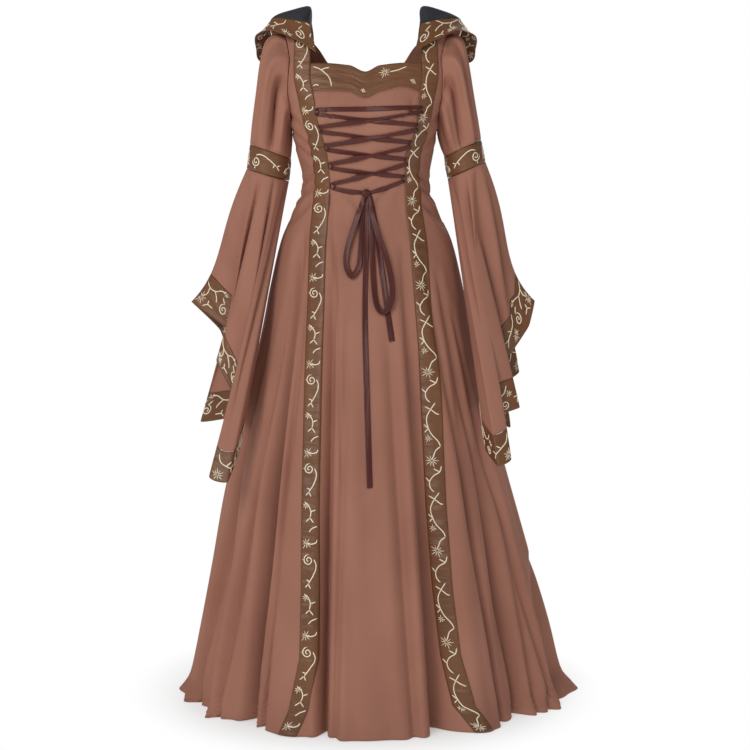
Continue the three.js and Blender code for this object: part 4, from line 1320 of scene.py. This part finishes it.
def stitch_row(patch, column, pieces, along_rows=True):
    """Adds a row of short stitches down a patch, or round it, to a list of mesh parts."""
    long = patch.along[-1] if along_rows else patch.across[-1]
    for place in np.arange(FIRST_STITCH, long - STITCH_PITCH, STITCH_PITCH):
        line = place + np.linspace(0, STITCH_PITCH * STITCH_SHARE, 4)
        fixed = np.full(4, column)
        down, over = (line, fixed) if along_rows else (fixed, line)
        cord_strip(patch, down, over, *STITCH_SIZE, pieces)


# The gown in the panel: sizes and colours

# Off the middle of the cloth, in millimetres: embroidery, hem stitches and the hood's layers
FACE = 0.5
LOOSE_FACE = 0.6
LINING_GAP = 0.75


# The studio, in metres: the camera stands at chest height and looks a little down
CAMERA = {"place": (0.019, -3.6, -0.294), "tilt": 4.586, "lens": 82.94, "shift": -0.0833}
LIGHTS = [
    ("key", (-1.8, -3.2, 1.7), 2.6, 98), ("fill", (2.4, -3.4, 0.2), 2.4, 12),
    ("back", (0.6, 3.2, 1.6), 2.4, 60),
]
GOWN_MIDDLE = (0, 0, -0.62)
SOFT_LIGHT = 0.24
WHITE = (1, 1, 1, 1)
FLOOR_COLOUR = (0.95, 0.95, 0.95, 1)
FLOOR_FADE = (1.376, 1.47)
FLOOR_HALF = 9
FLOOR_GAP = 0.0015


def colour_of(name, description, value):
    return bpy.props.FloatVectorProperty(
        name=name, description=description, default=value, size=4, subtype="COLOR",
        min=0, max=1)


def length_of(name, description, value):
    return bpy.props.FloatProperty(
        name=name, description=description, default=value, min=0, unit="LENGTH",
        subtype="DISTANCE", precision=4)


class GownSizes(bpy.types.PropertyGroup):
    """Thicknesses and widths of the gown's cloth"""
    cloth: length_of("Cloth", "Thickness of the crepe", 0.0012)
    trim: length_of("Trim", "Thickness of the brocade", 0.0012)
    ribbon: length_of("Ribbon", "Thickness of the ribbon", 0.0007)
    lace_width: length_of("Lace width", "Width of the laced strands", 0.0095)
    tail_width: length_of("Tail width", "Width of the bow's loops and tails", 0.011)
    stem_width: length_of("Stem width", "Width of the stitched stems", 0.0025)


class GownColours(bpy.types.PropertyGroup):
    """Colours of the gown's cloths, each with a second tone"""
    crepe: colour_of("Crepe", "Dusty rose brown", (0.350, 0.156, 0.106, 1))
    crepe_shade: colour_of("Crepe shade", "Its deeper tone", (0.290, 0.122, 0.082, 1))
    brocade: colour_of("Brocade", "Brown satin of the trim", (0.172, 0.070, 0.028, 1))
    brocade_shade: colour_of("Brocade shade", "Its deeper tone", (0.112, 0.043, 0.017, 1))
    lining: colour_of("Lining", "Charcoal", (0.030, 0.032, 0.040, 1))
    lining_shade: colour_of("Lining shade", "Its deeper tone", (0.020, 0.021, 0.027, 1))
    ribbon: colour_of("Ribbon", "Dark brown satin", (0.092, 0.024, 0.019, 1))
    ribbon_shade: colour_of("Ribbon shade", "Its deeper tone", (0.046, 0.011, 0.009, 1))
    thread: colour_of("Thread", "Cream embroidery", (0.94, 0.84, 0.64, 1))
    thread_shade: colour_of("Thread shade", "Its deeper tone", (0.84, 0.71, 0.50, 1))


def sewn(context, name, patch, kind, node_name):
    """A sheet of cloth that stands for a node; the size it was cut to is worked out and left
    unused.
    """
    sizes = context.scene.gown_sizes
    thickness = sizes.trim if kind == "brocade" else sizes.cloth
    piece = shell(name, patch, thickness / MM, finish(context, kind))
    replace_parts(piece, node_name)
    flat = (round(patch.across[-1] * MM, 3), round(patch.along[-1] * MM, 3))
    flat, area = fitted_cut(flat, patch.area())
    return piece


def stitched(context, name, patch, motif, **layout):
    """Embroidery laid on the outer face of a patch."""
    width = context.scene.gown_sizes.stem_width / MM
    embroider(name, patch.moved(FACE), motif, finish(context, "thread"), width, **layout)


def ribbon_piece(context, node_name, patch):
    """A length of ribbon that stands for a node."""
    name = node_name.replace("lace", "ribbon").replace("bow", "ribbon")
    thickness = context.scene.gown_sizes.ribbon / MM
    piece = shell(name, patch, thickness, finish(context, "ribbon"))
    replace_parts(piece, node_name)
    return piece


def fitted_cut(flat, area):
    """The cut's rectangle, made large enough to hold the area of the cloth."""
    width, length = (max(side, 0.012) for side in flat)
    if area > width * length:
        grow = math.sqrt(area / (width * length)) * 1.001
        width, length = width * grow, length * grow
    return (round(width, 4), round(length, 4)), max(area * 0.995, 0.301 * width * length)


def studio_world():
    """Soft white light all round, with a white backdrop for the camera."""
    world = bpy.data.worlds.new("studio")
    world.use_nodes = True
    tree = world.node_tree
    soft = fill(tree, tree.nodes["Background"], {"Strength": SOFT_LIGHT, "Color": WHITE})
    plain = node(tree, "Background", {"Color": WHITE})
    seen = node(tree, "LightPath", {})
    mix = node(tree, "MixShader", {
        0: seen.outputs["Is Camera Ray"], 1: soft.outputs[0], 2: plain.outputs[0],
    })
    fill(tree, tree.nodes["World Output"], {"Surface": mix.outputs[0]})
    return world


def pale_floor():
    """A pale floor that takes the gown's soft shadow and brightens into the backdrop."""
    pale = bpy.data.materials.new("floor")
    pale.use_nodes = True
    tree = pale.node_tree
    shader = fill(tree, tree.nodes["Principled BSDF"], {
        "Base Color": FLOOR_COLOUR, "Roughness": 0.95, "Specular IOR Level": 0,
    })
    glow = node(tree, "Emission", {})
    place = node(tree, "TexCoord", {})
    reach = node(tree, "VectorMath", {0: place.outputs["Object"]})
    reach.operation = "LENGTH"
    ramp = node(tree, "MapRange", {
        "Value": reach.outputs["Value"], "From Min": FLOOR_FADE[0], "From Max": FLOOR_FADE[1],
    })
    ramp.interpolation_type = "SMOOTHSTEP"
    mix = node(tree, "MixShader", {
        0: ramp.outputs["Result"], 1: shader.outputs[0], 2: glow.outputs[0],
    })
    fill(tree, tree.nodes["Material Output"], {"Surface": mix.outputs[0]})
    return pale


def disk_light(scene, name, place, size, power):
    """A round soft light that looks at the middle of the gown."""
    light = bpy.data.objects.new(name, bpy.data.lights.new(name, "AREA"))
    light.data.shape = "DISK"
    light.data.size = size
    light.data.energy = power
    light.location = place
    aim = Vector(GOWN_MIDDLE) - Vector(place)
    light.rotation_euler = aim.to_track_quat("-Z", "Y").to_euler()
    scene.collection.objects.link(light)


class GOWN_OT_stage(bpy.types.Operator):
    """Sets up the camera, the soft lights and the pale floor"""
    bl_idname = "gown.stage"
    bl_label = "Stage"

    def execute(self, context):
        scene = context.scene
        camera = bpy.data.objects.new("camera", bpy.data.cameras.new("camera"))
        scene.collection.objects.link(camera)
        camera.location = CAMERA["place"]
        camera.rotation_euler = (math.radians(90 - CAMERA["tilt"]), 0, 0)
        camera.data.lens = CAMERA["lens"]
        camera.data.sensor_width = 36
        camera.data.shift_y = CAMERA["shift"]
        camera.data.clip_end = 50
        scene.camera = camera
        for light in LIGHTS:
            disk_light(scene, *light)
        scene.world = studio_world()
        scene.view_settings.view_transform = "Standard"
        mesh = bpy.data.meshes.new("floor")
        wide, low = FLOOR_HALF, HEM * MM - FLOOR_GAP
        corners = [(-wide, -wide, low), (wide, -wide, low), (wide, wide, low),
                   (-wide, wide, low)]
        mesh.from_pydata(corners, [], [(0, 1, 2, 3)])
        floor = bpy.data.objects.new("floor", mesh)
        mesh.materials.append(pale_floor())
        scene.collection.objects.link(floor)
        return {"FINISHED"}


class GOWN_OT_tails(bpy.types.Operator):
    """Hangs the two free ends of the ribbon below the knot"""
    bl_idname = "gown.tails"
    bl_label = "Ribbon tails"

    def execute(self, context):
        sizes = context.scene.gown_sizes
        for name in ("lace_tail_short", "lace_tail_long"):
            patch = hanging_patch(name, sizes.tail_width / MM, TAIL_STEPS)
            piece = ribbon_piece(context, name, patch)
        return {"FINISHED"}


class GOWN_OT_body(bpy.types.Operator):
    """Sews the front, side fronts and backs, with their folds and creases"""
    bl_idname = "gown.body"
    bl_label = "Body"

    def execute(self, context):
        sewn(context, "front_cloth", front_patch(), "crepe", "front_panel")
        for side in SIDES:
            sewn(context, f"side_cloth_{side}", side_patch(side), "crepe", f"side_front_{side}")
            sewn(context, f"back_cloth_{side}", back_patch(side), "crepe", f"back_{side}")
        return {"FINISHED"}


class GOWN_OT_trims(bpy.types.Operator):
    """Lays the yoke and the brocade bands over the princess seams"""
    bl_idname = "gown.trims"
    bl_label = "Yoke and bands"

    def execute(self, context):
        patch = yoke_patch()
        sewn(context, "yoke_brocade", patch, "brocade", "front_yoke")
        stitched(context, "yoke_stitches", patch, yoke_motif, repeat=ONCE, along_rows=False)
        for side, motif, start in (("left", vine_side, 20), ("right", vine_long, -70)):
            patch = trim_patch(side)
            sewn(context, f"band_brocade_{side}", patch, "brocade", f"trim_band_{side}")
            stitched(context, f"band_stitches_{side}", patch, motif, start=start,
                     lean=-SIDES[side])
        return {"FINISHED"}


class GOWN_OT_sleeves(bpy.types.Operator):
    """Sets in the gathered sleeves, the arm bands and the long flares"""
    bl_idname = "gown.sleeves"
    bl_label = "Sleeves"

    def execute(self, context):
        for side in SIDES:
            upper = sleeve_patch(side, 0, BAND_ROW - ROW_GAP, 64)
            sewn(context, f"sleeve_cloth_{side}", upper, "crepe", f"sleeve_upper_{side}")
            band = sleeve_patch(side, BAND_ROW, BAND_ROW + 1, 14, BAND_BULGE)
            sewn(context, f"arm_brocade_{side}", band, "brocade", f"arm_band_{side}")
            stitched(context, f"arm_stitches_{side}", band, vine_side, start=6,
                     along_rows=False)
            sewn(context, f"flare_cloth_{side}", flare_patch(side, "flare"), "crepe",
                 f"sleeve_lower_{side}")
        return {"FINISHED"}


class GOWN_OT_cuffs(bpy.types.Operator):
    """Finishes the flares with wide brocade cuffs, stitched on both faces"""
    bl_idname = "gown.cuffs"
    bl_label = "Cuffs"

    def execute(self, context):
        for side in SIDES:
            patch = flare_patch(side, "cuff")
            sewn(context, f"cuff_brocade_{side}", patch, "brocade", f"cuff_band_{side}")
            stitched(context, f"cuff_stitches_{side}", patch, vine_loose, along_rows=False)
            stitched(context, f"cuff_stitches_inside_{side}", patch.turned(), vine_loose,
                     start=-60, along_rows=False)
        return {"FINISHED"}


class GOWN_OT_hood(bpy.types.Operator):
    """Hangs the open hood on the back, lined, with its brocade edge"""
    bl_idname = "gown.hood"
    bl_label = "Hood"

    def execute(self, context):
        bag = hood_patch(0, RIM_STEP - HOOD_SEAM, 56)
        sewn(context, "hood_cloth", bag.moved(-LINING_GAP), "crepe", "hood_shell")
        sewn(context, "hood_lining_cloth", bag.moved(LINING_GAP), "lining", "hood_lining")
        rim = hood_patch(RIM_STEP, RIM_STEP + 1, 16)
        sewn(context, "hood_brocade", rim, "brocade", "hood_band")
        stitched(context, "hood_stitches", rim, vine_loose, start=-40)
        stitched(context, "hood_stitches_under", rim.turned(), vine_loose, start=-90)
        return {"FINISHED"}


class GOWN_OT_lacing(bpy.types.Operator):
    """Laces the ribbon over the front and ties the bow"""
    bl_idname = "gown.lacing"
    bl_label = "Lacing and bow"

    def execute(self, context):
        sizes = context.scene.gown_sizes
        ribbon = finish(context, "ribbon")
        for name, start, end, lift in ribbon_ends():
            patch = ribbon_patch(start, end, lift, sizes.lace_width / MM)
            ribbon_piece(context, name, patch)
        for name in ("bow_loop_left", "bow_loop_right"):
            patch = hanging_patch(name, sizes.tail_width / MM, LOOP_STEPS)
            ribbon_piece(context, name, patch)
        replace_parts(knot_piece(ribbon), "bow_knot")
        lacing_loops(ribbon)
        return {"FINISHED"}


class GOWN_OT_stitching(bpy.types.Operator):
    """Adds the stitched hems and the seams beside the bands"""
    bl_idname = "gown.stitching"
    bl_label = "Hems and seams"

    def execute(self, context):
        pieces = []
        panels = [front_patch()]
        for side in SIDES:
            panels += [side_patch(side), back_patch(side)]
        for panel in panels:
            row = panel.along[-1] - HEM_INSET
            stitch_row(panel.moved(LOOSE_FACE), row, pieces, along_rows=False)
        join_strips("hem_stitches", pieces, finish(context, "crepe"))
        pieces = []
        for side in SIDES:
            band = trim_patch(side).moved(FACE)
            for column in (SEAM_INSET, band.across[-1] - SEAM_INSET):
                stitch_row(band, column, pieces)
        join_strips("band_seams", pieces, finish(context, "brocade"))
        return {"FINISHED"}


OPERATORS = (
    GOWN_OT_stage, GOWN_OT_tails, GOWN_OT_body, GOWN_OT_trims, GOWN_OT_sleeves,
    GOWN_OT_cuffs, GOWN_OT_hood, GOWN_OT_lacing, GOWN_OT_stitching,
)


class GOWN_PT_panel(bpy.types.Panel):
    """Lists the gown's sizes, its colours and the steps that make it"""
    bl_idname = "GOWN_PT_panel"
    bl_label = "Gown"
    bl_space_type = "VIEW_3D"
    bl_region_type = "UI"
    bl_category = "Gown"

    def draw(self, context):
        for group in (context.scene.gown_sizes, context.scene.gown_colours):
            for name in group.bl_rna.properties.keys():
                if name not in ("rna_type", "name"):
                    self.layout.prop(group, name)
        for operator in OPERATORS:
            self.layout.operator(operator.bl_idname)


CLASSES = (GownSizes, GownColours, *OPERATORS, GOWN_PT_panel)


def register():
    for made in CLASSES:
        bpy.utils.register_class(made)
    bpy.types.Scene.gown_sizes = bpy.props.PointerProperty(type=GownSizes)
    bpy.types.Scene.gown_colours = bpy.props.PointerProperty(type=GownColours)


def unregister():
    del bpy.types.Scene.gown_colours
    del bpy.types.Scene.gown_sizes
    for made in reversed(CLASSES):
        bpy.utils.unregister_class(made)


def main():
    register()
    bpy.ops.object.select_all(action="DESELECT")
    for operator in OPERATORS:
        group, name = operator.bl_idname.split(".")
        getattr(getattr(bpy.ops, group), name)()


if __name__ == "__main__":
    main()
